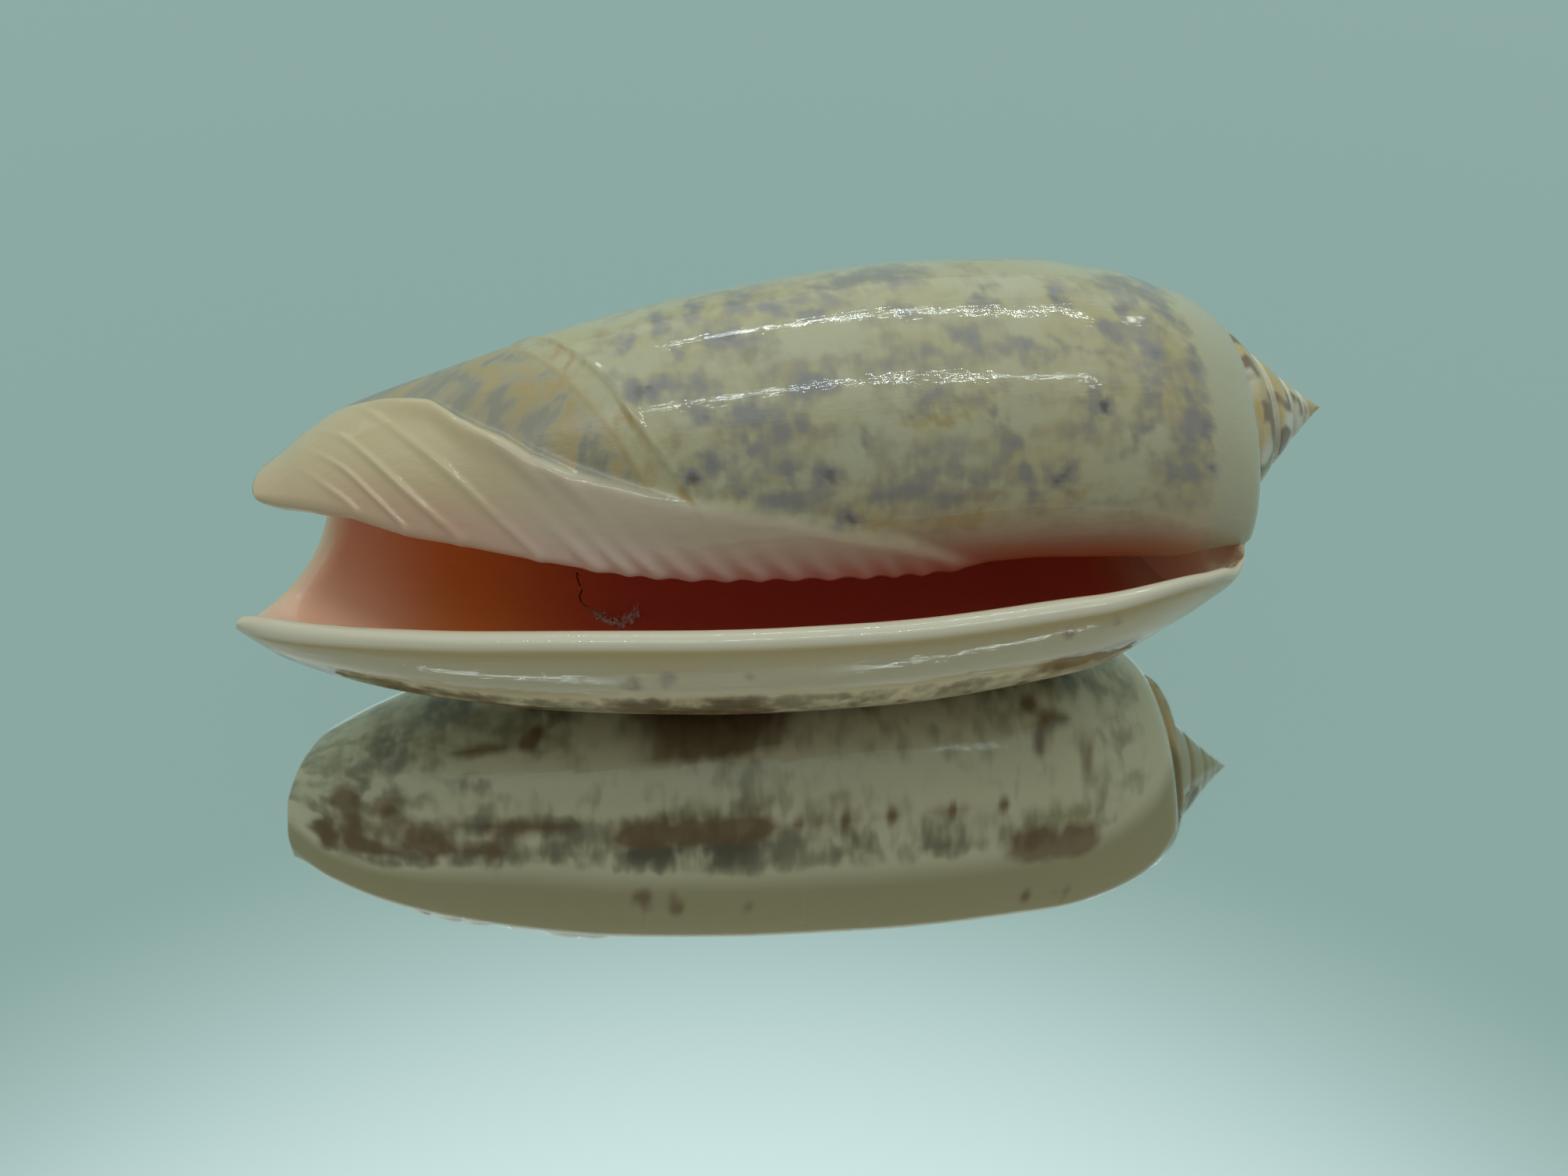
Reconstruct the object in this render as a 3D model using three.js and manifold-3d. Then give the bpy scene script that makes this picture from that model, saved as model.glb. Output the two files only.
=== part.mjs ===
// Olive shell lying on its back: spire to the right (+X), aperture to the front (-Y).
// All lengths in millimetres, all angles in degrees, up is +Z.
import * as THREE from "three";
import Module from "manifold-3d";

// Overall size and the way the shell lies
const SHELL_LENGTH = 45.0;
const AXIS_RISE = 3.4;
const REST_FLAT_DEPTH = 0.3;

// Wall of the shell
const LIP_WALL = 1.05;
const LIP_WALL_REAR = 0.45;
const WALL_GROWTH_INWARD = 0.5;
const COLUMELLA_STEP = 0.85;
const CAVITY_DEPTH_TURNS = 0.84;
const SIPHON_DEPTH_TURNS = 0.48;
const HOLLOW_RUN_OUT = [35.0, 39.0];
const SIPHON_END_ROUNDING = 2.0;
const COLUMELLA_END_ROUNDING = 1.6;

// Radius of the body whorl along the shell, station from the siphon end and radius
const LIP_PROFILE = [
  [0, 2.7], [1, 3.6], [2.2, 4.5], [5.4, 6.0], [9.9, 7.4], [15.3, 8.5], [21, 9.25],
  [27, 9.6], [32.4, 9.4], [36.9, 8.35], [39.5, 7.1], [41, 6.2], [43, 4.6], [45, 3],
];
// The same one turn earlier, where the whorl runs under the lip
const INNER_PROFILE = [
  [0, 1.2], [2.5, 2.3], [5.4, 3.25], [9.9, 4.1], [15.3, 4.75], [21, 5.0],
  [27, 5.25], [32.4, 5.4], [36.9, 4.9], [39.5, 4.3], [41, 3.9], [43, 2.9], [45, 2],
];
// Small swelling of the back of the shell
const BACK_SWELL = [
  [0, -0.9], [3, -0.55], [4.2, -0.28], [6, -0.1], [9, -0.08], [13, 0.02], [18, 0.15],
  [22, 0.18], [27, 0.12], [30.5, -0.1], [33, -0.28], [35, -0.12], [36.8, 0.22],
  [38.5, 0.12], [40, 0], [45, 0],
];
// Fuller corner of the shoulder where the whorl runs out to the lip
const CORNER_HEIGHT = 0.3;
// Front edge of the shell wall, growth turn and station: lip tip, notch, columella tip
const FRONT_RIM = [
  [0.0, 0.75], [0.04, 0.5], [0.10, 0.5], [0.16, 0.75], [0.225, 1.25], [0.29, 2.0],
  [0.347, 2.85], [0.385, 3.35], [0.44, 3.8], [0.50, 3.85], [0.56, 3.3], [0.63, 2.25],
  [0.70, 2.0], [0.78, 2.4], [0.86, 3.5], [1.0, 5.0], [1.2, 5.0],
];
const FRONT_RIM_REACH = 9.0;
// Angle of the lip edge and of the columella edge around the axis, by station
const LIP_ANGLE = [
  [0, -32], [1, -22], [2.4, -13], [5, -6.5], [8, -4], [13, -2.8], [18, -4], [24, -5.5],
  [30, -6.5], [34, -7.5], [36, -9], [38, -13.5], [39.5, -22], [45, -22],
];
const COLUMELLA_ANGLE = [
  [0, 102], [2, 86], [3.5, 67], [5, 53], [5.8, 48.5], [6.8, 41], [8, 33.5], [9.5, 27.5],
  [11.3, 20], [13.3, 12], [15.6, 3], [18.6, -6.5], [21.8, -13], [25, -19.5], [28, -24],
  [32, -26.5], [36, -28], [38.6, -25], [39.8, -22], [45, -22],
];

// Spire: distance from the apex to the suture after each turn, and the cone of the whorls
const SUTURE_FROM_APEX = [
  [0, 5.05], [0.33, 4.7], [0.66, 4.45], [1, 4.36], [1.5, 3.6], [2, 2.85],
  [3, 1.7], [4, 1.05], [5, 0.65], [6, 0.4], [7, 0.25], [8, 0.15],
];
const CONE_SCALE = 0.74;
const CONE_POWER = 1.11;
// Length over which the shoulder rounds down to the suture, by growth turn
const SHOULDER_WIDTH = [
  [0, 1.1], [0.15, 1.7], [0.4, 1.95], [0.75, 1.85], [0.95, 1.4], [1.05, 1.2], [2, 1.0],
];
const CHANNEL_DEPTH = 0.3;
const CHANNEL_WIDTH = 0.35;

// Relief of the columella side
const CALLUS_EDGE = [
  [5, 120], [8.1, 96.5], [9.2, 89.8], [10.2, 77.3], [10.9, 70.6], [11.8, 64], [12.7, 55.3],
  [14.2, 46.7], [16.3, 37.2], [18.1, 30.5], [21.6, 20], [23.9, 10.4], [26.2, 0.8],
  [28.4, -15.4], [30, -30], [34, -60],
];
const BAND_EDGE = [
  [4, 250], [8.5, 194], [13.8, 110], [14.9, 91.7], [15.8, 77.3], [16.4, 64], [17, 52.5],
  [17.6, 42], [18.1, 33.3], [18.6, 24], [20, 0],
];
const CALLUS_HEIGHT = 0.28;
const FASCIOLE_CREST_HEIGHT = 0.22;
const BAND_RIDGE_HEIGHT = 0.09;
const BAND_SUNK = 0.06;

// Folds of the columella: number of folds up to a station of its edge, and how the folds slant
const FOLD_COUNT = [
  [2.5, -1], [6, 0], [7.75, 1], [9.65, 2], [12.4, 3], [14.4, 4], [16.6, 6], [19.2, 8],
  [21.8, 10], [24.6, 12], [28.2, 15], [31.9, 17], [36.2, 20], [40, 22],
];
const FOLD_SLANT = [
  [6, 0.105], [11, 0.1], [16, 0.075], [22, 0.057], [27, 0.04], [32, 0.013], [40, 0],
];
const FOLD_HEIGHT = 0.15;
const LONG_FOLD_REACH = 42;
const SHORT_FOLD_REACH = 14;
const LAST_LONG_FOLD = 3.3;
const FIRST_SHORT_FOLD = 3.9;

// Slope of the sight line under the folded edge, which the hollow stays below
const OVERHANG_SLOPE = 38.6;
const OVERHANG_MARGIN = 0.14;
const LEAST_CORE_RADIUS = 0.4;
const UNLIMITED_RADIUS = 20;
const CORE_TURN_IN = 0.3;

// Faceting: stations along the axis and points around each section
const FRONT_RUNS = [[0, 2.0, 6], [2.0, 9.65, 13]];
const REAR_RUNS = [[28.2, 36.0, 10], [36.0, 41.4, 15], [41.4, 44.9, 15]];
const ROWS_PER_FOLD = 3;
const BACK_COLUMNS = 13;
const FRONT_COLUMNS = 11;
const LIP_COLUMNS = 2;
const EDGE_COLUMNS = 2;
const END_COLUMNS = 1;
const SHORTER_DIAGONAL = 0.85;

const DEGREE = Math.PI / 180;

function clamp(value, low, high) {
  return Math.min(Math.max(value, low), high);
}

function smoothStep(low, high, value) {
  const x = clamp((value - low) / (high - low), 0, 1);
  return x * x * (3 - 2 * x);
}

function blend(a, b, share) {
  return a + (b - a) * share;
}

// Index of the table interval that holds x
function interval(table, x) {
  let i = 0;
  while (i < table.length - 2 && x > table[i + 1][0]) {
    i += 1;
  }
  return i;
}

function straightCurve(table, x) {
  const inside = clamp(x, table[0][0], table[table.length - 1][0]);
  const i = interval(table, inside);
  const share = (inside - table[i][0]) / (table[i + 1][0] - table[i][0]);
  return blend(table[i][1], table[i + 1][1], share);
}

function slopeBetween(table, i) {
  return (table[i + 1][1] - table[i][1]) / (table[i + 1][0] - table[i][0]);
}

// Slope at a table point that never overshoots its neighbours
function slopeAt(table, i) {
  if (i === 0) {
    return slopeBetween(table, 0);
  }
  if (i === table.length - 1) {
    return slopeBetween(table, i - 1);
  }
  const before = slopeBetween(table, i - 1);
  const after = slopeBetween(table, i);
  return before * after <= 0 ? 0 : (2 * before * after) / (before + after);
}

// Smooth curve through the points of a table
function smoothCurve(table, x) {
  const inside = clamp(x, table[0][0], table[table.length - 1][0]);
  const i = interval(table, inside);
  const width = table[i + 1][0] - table[i][0];
  const u = (inside - table[i][0]) / width;
  const startSlope = width * slopeAt(table, i);
  const endSlope = width * slopeAt(table, i + 1);
  const startPart = (1 + 2 * u) * (1 - u) ** 2 * table[i][1] + u * (1 - u) ** 2 * startSlope;
  const endPart = u * u * (3 - 2 * u) * table[i + 1][1] + u * u * (u - 1) * endSlope;
  return startPart + endPart;
}

// Share of the way from the lip profile to the inner profile after a growth turn
function growthShare(turn, station) {
  const body = (-0.187 * turn + 0.781 * turn * turn) / 0.594;
  return blend(body, turn, smoothStep(33, 39, station));
}

function bodyRadius(turn, station) {
  const share = growthShare(turn, station);
  const lip = smoothCurve(LIP_PROFILE, station);
  const inner = smoothCurve(INNER_PROFILE, station);
  const pad = 0.9 * smoothStep(31, 38, station) + 1.0 * smoothStep(38, 41, station);
  const onBack = smoothStep(0.35, 0.6, turn) * (1 - smoothStep(0.75, 1.0, turn));
  const corner = CORNER_HEIGHT * smoothStep(35, 38.5, station) * smoothStep(0.9, 1.04, turn);
  return lip ** (1 - share) * inner ** share
    + pad * smoothStep(0.78, 1.02, turn)
    + corner
    + smoothCurve(BACK_SWELL, station) * onBack;
}

function sutureDistance(turn) {
  return smoothCurve(SUTURE_FROM_APEX, turn);
}

// Growth turn whose suture lies a given distance from the apex
function turnAtDistance(distance) {
  let low = 0;
  let high = 8;
  for (let step = 0; step < 30; step += 1) {
    const middle = (low + high) / 2;
    if (sutureDistance(middle) > distance) {
      low = middle;
    } else {
      high = middle;
    }
  }
  return (low + high) / 2;
}

function coneRadius(distance) {
  return CONE_SCALE * Math.max(distance, 1e-6) ** CONE_POWER;
}

function spireRadius(turn, distance) {
  const passed = turnAtDistance(distance) - turn;
  const phase = passed - Math.floor(passed);
  const nearSuture = Math.min(phase, 1 - phase);
  const groove = Math.exp(-((nearSuture / 0.08) ** 2));
  return coneRadius(distance) * (1 + 0.03 * Math.sin(Math.PI * phase) - 0.1 * groove);
}

function channelRadius(turn) {
  return coneRadius(sutureDistance(turn)) - CHANNEL_DEPTH;
}

// Whorl with its shoulder rounded down into the channel of the suture
function whorlRadius(turn, station) {
  const width = smoothCurve(SHOULDER_WIDTH, turn);
  const shoulder = SHELL_LENGTH - sutureDistance(turn) - width;
  const x = clamp((station - shoulder) / width, 0, 1);
  const rounding = Math.sqrt(Math.max(0, 1 - x ** 2.4));
  return blend(channelRadius(turn), bodyRadius(turn, station), rounding);
}

// Radius of what is seen from outside: body whorl, channel, then the whorls of the spire
function outerRadius(turn, station) {
  const distance = SHELL_LENGTH - station;
  const suture = sutureDistance(turn);
  if (distance >= suture) {
    return whorlRadius(turn, station);
  }
  const spire = spireRadius(turn, distance);
  const earlier = 1 - smoothStep(0.12, 0.55, turn);
  let radius = spire;
  if (distance > sutureDistance(turn + 1)) {
    radius = blend(spire, whorlRadius(turn + 1, station), earlier);
  }
  const x = clamp((suture - distance) / CHANNEL_WIDTH, 0, 1);
  return blend(channelRadius(turn), radius, Math.sqrt(Math.max(0, 1 - (1 - x) ** 2)));
}

// Folds of the columella, thin and long at the front, broad and short behind
function foldHeight(angle, station, toCallus) {
  const above = angle - smoothCurve(COLUMELLA_ANGLE, station);
  const number = smoothCurve(FOLD_COUNT, station + smoothCurve(FOLD_SLANT, station) * above);
  const short = smoothStep(LAST_LONG_FOLD, FIRST_SHORT_FOLD, number);
  const reach = blend(LONG_FOLD_REACH, SHORT_FOLD_REACH, short);
  const near = 0.08 + 0.92 * Math.exp(-((Math.max(above, 0) / reach) ** 2));
  const along = smoothStep(3.5, 7, station) * (1 - 0.6 * smoothStep(26, 30, station))
    * (1 - smoothStep(37, 38.6, station));
  const wave = 0.5 + 0.5 * Math.cos(2 * Math.PI * number);
  const crest = wave ** blend(2.4, 0.8, short);
  return FOLD_HEIGHT * near * along * smoothStep(-0.1, 0.5, toCallus) * crest;
}

// Callus, fasciole crest, band edge and columella folds, raised above the smooth whorl
function relief(angle, station, radius) {
  const toCallus = (straightCurve(CALLUS_EDGE, station) - angle) * DEGREE * radius;
  const toBand = (straightCurve(BAND_EDGE, station) - angle) * DEGREE * radius;
  const callus = CALLUS_HEIGHT * smoothStep(-0.3, 0.45, toCallus) * smoothStep(3, 8, station)
    * (1 - smoothStep(27, 31, station));
  const inBand = smoothStep(-0.12, 0.12, toBand) * (1 - smoothStep(-0.3, 0.3, toCallus))
    * smoothStep(6, 9, station) * (1 - smoothStep(18.2, 19.5, station));
  const ridge = BAND_RIDGE_HEIGHT * Math.exp(-((toBand / 0.16) ** 2))
    * (1 - smoothStep(17.8, 19, station)) * smoothStep(6, 9, station);
  const crest = FASCIOLE_CREST_HEIGHT * Math.exp(-(((toCallus - 0.5) / 0.5) ** 2))
    * smoothStep(6, 9, station) * (1 - smoothStep(12.5, 15.5, station));
  return callus + ridge + crest + foldHeight(angle, station, toCallus) - BAND_SUNK * inBand;
}

// Stations near the siphon end are squeezed so that the first one follows the front rim
function stationOf(row, turn) {
  if (row >= FRONT_RIM_REACH) {
    return row;
  }
  const rim = smoothCurve(FRONT_RIM, turn);
  return blend(rim, FRONT_RIM_REACH, row / FRONT_RIM_REACH);
}

// Point at a station, an angle (0 to the front, 90 up) and a radius
function place(station, angle, radius) {
  return new THREE.Vector3(
    station,
    -radius * Math.cos(angle * DEGREE),
    radius * Math.sin(angle * DEGREE),
  );
}

function outerPoint(row, turn) {
  const station = stationOf(row, turn);
  const angle = smoothCurve(LIP_ANGLE, station) - 360 * turn;
  let radius = outerRadius(clamp(turn, 0, 1.3), station);
  if (turn > 0.35) {
    radius += relief(angle + 360, station, radius);
  }
  return { station, angle, radius };
}

function placeOuter(row, turn, depth = 0) {
  const spot = outerPoint(row, turn);
  return place(spot.station, spot.angle, spot.radius - depth);
}

// Growth turn at which a row meets the edge of the columella
function columellaTurn(row, open) {
  let turn = 0.95;
  for (let step = 0; step < 12; step += 1) {
    const station = stationOf(row, turn);
    const lip = smoothCurve(LIP_ANGLE, station);
    const edge = smoothCurve(COLUMELLA_ANGLE, station);
    turn = blend(turn, 1 + (lip - edge) / 360, 0.5);
  }
  return blend(1, turn, open);
}

function roundedRise(x) {
  return Math.sqrt(1 - (1 - clamp(x, 0, 1)) ** 2);
}

function shares(count) {
  return Array.from({ length: count }, (unused, i) => i / (count - 1));
}

// Shares strictly between 0 and 1
function innerShares(count) {
  return Array.from({ length: count }, (unused, i) => (i + 1) / (count + 1));
}

function bezier(a, b, c, d, share) {
  const point = new THREE.Vector3();
  point.addScaledVector(a, (1 - share) ** 3);
  point.addScaledVector(b, 3 * share * (1 - share) ** 2);
  point.addScaledVector(c, 3 * share * share * (1 - share));
  point.addScaledVector(d, share ** 3);
  return point;
}

// Largest radius at an angle that stays below the sight line under the folded edge
function sightLimit(startRadius, edgeAngle, angle, share) {
  const below = Math.sin((angle - OVERHANG_SLOPE) * DEGREE);
  if (below >= -0.02) {
    return UNLIMITED_RADIUS;
  }
  const level = startRadius * Math.sin((edgeAngle + 360 - OVERHANG_SLOPE) * DEGREE);
  const kept = 1 - OVERHANG_MARGIN * smoothStep(0, 0.15, share);
  return clamp((level * kept) / below, LEAST_CORE_RADIUS, UNLIMITED_RADIUS);
}

// The smaller of two radii, with a rounded change from one to the other
function softSmaller(a, b) {
  return (a ** -6 + b ** -6) ** (-1 / 6);
}

// Closed section of the shell at one row: outside, columella edge, cavity, lip
function section(row) {
  const open = 1 - smoothStep(39.2, 39.65, row);
  const deep = 1 - smoothStep(HOLLOW_RUN_OUT[0], HOLLOW_RUN_OUT[1], row);
  const thin = roundedRise(row / SIPHON_END_ROUNDING);
  const wall = blend(LIP_WALL, LIP_WALL_REAR, smoothStep(30, 39, row)) * thin * open;
  const half = wall / 2;
  const lipTurn = (half / (2 * Math.PI * outerPoint(row, 0).radius)) * open;
  const edgeTurn = columellaTurn(row, open);
  const middleTurn = lipTurn + 0.03 + SIPHON_DEPTH_TURNS;
  const coiled = smoothStep(9, 17, row);
  const depthTurns = blend(SIPHON_DEPTH_TURNS, CAVITY_DEPTH_TURNS, coiled);
  const cavityTurn = lipTurn + 0.03 * open + depthTurns * deep * open;
  const back = shares(BACK_COLUMNS).map((q) => placeOuter(row, blend(lipTurn, middleTurn, q)));
  const front = shares(FRONT_COLUMNS).map((q) => placeOuter(row, blend(middleTurn, edgeTurn, q)));

  const edge = outerPoint(row, edgeTurn);
  const rounding = 0.5 * (blend(0.1, COLUMELLA_STEP, deep)) * thin * open;
  const columella = innerShares(EDGE_COLUMNS).map((q) => {
    const inward = rounding * (1 - Math.cos(Math.PI * q));
    const past = (rounding * Math.sin(Math.PI * q)) / edge.radius / DEGREE;
    return place(edge.station, edge.angle - past, edge.radius - inward);
  });

  const end = outerPoint(row, cavityTurn);
  const endWall = wall * (1 + WALL_GROWTH_INWARD);
  const roof = end.radius - endWall;
  const core = Math.min(roof - 0.3 * thin, Math.max(blend(0.85, 0.42, deep) * roof, 0.1));
  const startRadius = edge.radius - 2 * rounding;
  const stopRadius = blend(roof, core, thin * open);
  const start = place(edge.station, edge.angle, startRadius);
  const stop = place(end.station, end.angle, stopRadius);
  const round = (1 - deep) * open;
  const bulge = blend(edge.radius - rounding, 5.2, deep);
  const nearStart = place(
    blend(edge.station, end.station, 1 / 3), edge.angle + 360 - 48 * deep - 2, bulge);
  const nearStop = place(
    blend(edge.station, end.station, 2 / 3), end.angle + 50 * deep + 2, bulge * 0.92);
  const b = start.clone().lerp(stop, 1 / 3).lerp(nearStart, round);
  const c = start.clone().lerp(stop, 2 / 3).lerp(nearStop, round);
  const grown = roundedRise(row / COLUMELLA_END_ROUNDING);
  const floor = shares(FRONT_COLUMNS).map((q, i) => {
    const angle = blend(edge.angle + 360, end.angle, Math.max(q - 0.06, 0) / 0.94);
    const coilRadius = softSmaller(
      blend(startRadius, stopRadius, smoothStep(0, CORE_TURN_IN, q)),
      sightLimit(startRadius, edge.angle, angle, q),
    );
    const coil = place(blend(edge.station, end.station, q), angle, coilRadius);
    const inside = bezier(start, b, c, stop, q).lerp(coil, coiled * open);
    return front[FRONT_COLUMNS - 1 - i].clone().lerp(inside, grown);
  });

  const roofPoints = shares(BACK_COLUMNS).map((q) => {
    const depth = wall * (1 + WALL_GROWTH_INWARD * smoothStep(0, 0.6, q));
    return placeOuter(row, blend(lipTurn, cavityTurn, q), depth);
  });
  const low = floor[FRONT_COLUMNS - 1];
  const high = roofPoints[BACK_COLUMNS - 1];
  const middle = low.clone().lerp(high, 0.5);
  const reach = high.clone().sub(middle);
  const endTurned = end.angle * DEGREE;
  const onward = new THREE.Vector3(0, -Math.sin(endTurned), -Math.cos(endTurned));
  const closing = innerShares(END_COLUMNS).map((q) => {
    const turn = Math.PI * (q - 0.5);
    return middle.clone()
      .addScaledVector(reach, Math.sin(turn))
      .addScaledVector(onward, reach.length() * 0.8 * Math.cos(turn));
  });
  const lip = innerShares(LIP_COLUMNS).map((q) => {
    const swing = Math.PI * q;
    return placeOuter(row, lipTurn * (1 - Math.sin(swing)), half * (1 - Math.cos(swing)));
  });
  return [
    ...back, ...front, ...columella, ...floor, ...closing,
    ...roofPoints.reverse(), ...lip.reverse(),
  ];
}

// Runs of rows between the front and the rear ones, the same number of rows on every fold
function foldRuns() {
  const first = FRONT_RUNS[FRONT_RUNS.length - 1][1];
  const last = REAR_RUNS[0][0];
  const runs = [];
  for (let i = 0; i + 1 < FOLD_COUNT.length; i += 1) {
    const [from, fold] = FOLD_COUNT[i];
    const [to, nextFold] = FOLD_COUNT[i + 1];
    if (from >= first && to <= last) {
      runs.push([from, to, ROWS_PER_FOLD * (nextFold - fold)]);
    }
  }
  return runs;
}

function rows() {
  const list = [0];
  for (const [from, to, count] of [...FRONT_RUNS, ...foldRuns(), ...REAR_RUNS]) {
    for (let i = 1; i <= count; i += 1) {
      list.push(blend(from, to, i / count));
    }
  }
  return list;
}

// Turns the shell so that its axis rises toward the spire
function lay(point) {
  const rise = AXIS_RISE * DEGREE;
  return new THREE.Vector3(
    point.x * Math.cos(rise) - point.z * Math.sin(rise),
    point.y,
    point.x * Math.sin(rise) + point.z * Math.cos(rise),
  );
}

// One vertex for each distinct place, so that collapsed columns close the surface
class VertexPool {
  constructor() {
    this.points = [];
    this.known = new Map();
  }

  add(point) {
    const key = [point.x, point.y, point.z].map((v) => Math.round(v * 5000)).join(" ");
    if (!this.known.has(key)) {
      this.known.set(key, this.points.length);
      this.points.push(point);
    }
    return this.known.get(key);
  }
}

// Whether the patch between two rows is split better along its other diagonal
function slantedBack(points, hereStart, hereStop, nextStart, nextStop) {
  const usual = points[hereStart].distanceTo(points[nextStop]);
  const other = points[hereStop].distanceTo(points[nextStart]);
  return other < SHORTER_DIAGONAL * usual;
}

function buildSurface() {
  const pool = new VertexPool();
  const triangles = [];
  const addTriangle = (a, b, c) => {
    if (a !== b && b !== c && a !== c) {
      triangles.push([a, b, c]);
    }
  };
  const rings = rows().map((row) => section(row).map((point) => pool.add(lay(point))));
  for (let i = 0; i + 1 < rings.length; i += 1) {
    const here = rings[i];
    const next = rings[i + 1];
    for (let j = 0; j < here.length; j += 1) {
      const k = (j + 1) % here.length;
      if (slantedBack(pool.points, here[j], here[k], next[j], next[k])) {
        addTriangle(here[j], here[k], next[j]);
        addTriangle(here[k], next[k], next[j]);
      } else {
        addTriangle(here[j], next[k], next[j]);
        addTriangle(here[j], here[k], next[k]);
      }
    }
  }
  const apex = pool.add(lay(new THREE.Vector3(SHELL_LENGTH, 0, 0)));
  const last = rings[rings.length - 1];
  for (let j = 0; j < last.length; j += 1) {
    addTriangle(last[j], last[(j + 1) % last.length], apex);
  }
  return { points: pool.points, triangles };
}

// Solid with its lowest part cut to a small flat that the shell rests on
function restingSolid(wasm) {
  const { points, triangles } = buildSurface();
  const mesh = new wasm.Mesh({
    numProp: 3,
    vertProperties: new Float32Array(points.flatMap((point) => [point.x, point.y, point.z])),
    triVerts: new Uint32Array(triangles.flat()),
  });
  const whole = new wasm.Manifold(mesh);
  const lowest = whole.boundingBox().min[2];
  const cut = whole.trimByPlane([0, 0, 1], lowest + REST_FLAT_DEPTH);
  const box = cut.boundingBox();
  return cut.translate([
    -(box.min[0] + box.max[0]) / 2,
    -(box.min[1] + box.max[1]) / 2,
    -box.min[2],
  ]);
}

function shellGeometry(wasm) {
  const mesh = restingSolid(wasm).getMesh();
  const geometry = new THREE.BufferGeometry();
  geometry.setAttribute("position", new THREE.Float32BufferAttribute(mesh.vertProperties, 3));
  geometry.setIndex(new THREE.Uint32BufferAttribute(mesh.triVerts, 1));
  geometry.computeVertexNormals();
  return geometry;
}

const wasm = await Module();
wasm.setup();

const group = new THREE.Group();
group.name = "olive_shell";
const shellMaterial = new THREE.MeshStandardMaterial({
  color: 0xd8cfb4,
  roughness: 0.25,
  metalness: 0.0,
});
const shell = new THREE.Mesh(shellGeometry(wasm), shellMaterial);
shell.name = "shell";
group.add(shell);

export default group;
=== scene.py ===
"""Olive shell lying on its back: its fine surface, glaze and markings, and a plain studio."""
import logging
import math
from dataclasses import dataclass
from enum import Enum
from typing import Any

import bpy
import numpy as np
from mathutils import Matrix, Vector


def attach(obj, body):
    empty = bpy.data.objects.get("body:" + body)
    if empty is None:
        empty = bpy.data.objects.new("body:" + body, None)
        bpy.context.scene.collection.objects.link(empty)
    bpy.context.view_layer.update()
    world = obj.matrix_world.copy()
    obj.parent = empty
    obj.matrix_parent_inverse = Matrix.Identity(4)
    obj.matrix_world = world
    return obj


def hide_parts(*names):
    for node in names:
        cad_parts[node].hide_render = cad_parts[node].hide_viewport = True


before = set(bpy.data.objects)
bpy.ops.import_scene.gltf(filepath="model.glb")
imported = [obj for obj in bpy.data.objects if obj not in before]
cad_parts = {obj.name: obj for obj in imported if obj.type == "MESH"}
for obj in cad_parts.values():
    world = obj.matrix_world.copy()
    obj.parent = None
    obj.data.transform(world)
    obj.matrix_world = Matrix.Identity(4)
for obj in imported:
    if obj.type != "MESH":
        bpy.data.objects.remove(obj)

log = logging.getLogger("olive_shell")

MM = 0.001
DEGREE = math.pi / 180
FULL_TURN = 360.0
NODE = "shell"
BODY = "root"
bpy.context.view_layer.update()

# Length around the last whorl in mm, which turns growth turns into millimetres of growth.
GROWTH_CIRCUMFERENCE = 53.4
# Distance in mm that stands for an edge which a point is nowhere near.
FAR = 20.0
# Points closer together than one part in so many of a mm are merged.
MERGE_PER_MM = 5000

Array = np.ndarray
Span = tuple[float, float]
Points = tuple[Span, ...]
Colour = tuple[float, float, float]
Fields = dict[str, Array]
Masks = dict[str, Any]
Node = bpy.types.Node
Socket = bpy.types.NodeSocket
Tree = bpy.types.NodeTree


def smooth_step(low: float, high: float, value: Array) -> Array:
    """Smooth rise from 0 at low to 1 at high."""
    x = np.clip((value - low) / (high - low), 0, 1)
    return x * x * (3 - 2 * x)


def fall(low: float, high: float, value: Array) -> Array:
    """Smooth fall from 1 at low to 0 at high."""
    return 1 - smooth_step(low, high, value)


def hill(value: Array, centre: float, width: Array) -> Array:
    """Bell curve of height 1 at centre."""
    return np.exp(-(((value - centre) / width) ** 2))


def blend(a: Array, b: Array, share: Array) -> Array:
    """Mix of a and b, all a at share 0."""
    return a + (b - a) * share


def rounded_rise(x: Array) -> Array:
    """Quarter circle from 0 at x 0 to 1 at x 1."""
    return np.sqrt(1 - (1 - np.clip(x, 0, 1)) ** 2)


def inner_shares(count: int) -> Array:
    """Evenly spaced shares strictly between 0 and 1."""
    return np.linspace(0, 1, count + 2)[1:-1]


@dataclass(frozen=True)
class Curve:
    """A curve through a few points, straight or smooth between them."""

    points: Points

    def straight(self, x: Array) -> Array:
        """Height of the straight-sided curve at x."""
        xs, ys = np.array(self.points).T
        return np.interp(x, xs, ys)

    def smooth(self, x: Array) -> Array:
        """Height at x of the smooth curve, which never overshoots its points.

        Args:
            x: places along the curve, held inside its ends.

        Returns:
            The heights, in an array shaped like x.
        """
        xs, ys = np.array(self.points).T
        rise = np.diff(ys) / np.diff(xs)
        before, after = rise[:-1], rise[1:]
        same_way = before * after > 0
        both = np.where(same_way, before + after, 1.0)
        inner = np.where(same_way, 2 * before * after / both, 0.0)
        slope = np.concatenate([rise[:1], inner, rise[-1:]])
        x = np.clip(x, xs[0], xs[-1])
        i = np.clip(np.searchsorted(xs, x) - 1, 0, len(xs) - 2)
        width = xs[i + 1] - xs[i]
        u = (x - xs[i]) / width
        start = (1 + 2 * u) * (1 - u) ** 2 * ys[i] + u * (1 - u) ** 2 * width * slope[i]
        end = u * u * (3 - 2 * u) * ys[i + 1] + u * u * (u - 1) * width * slope[i + 1]
        return start + end


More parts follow.
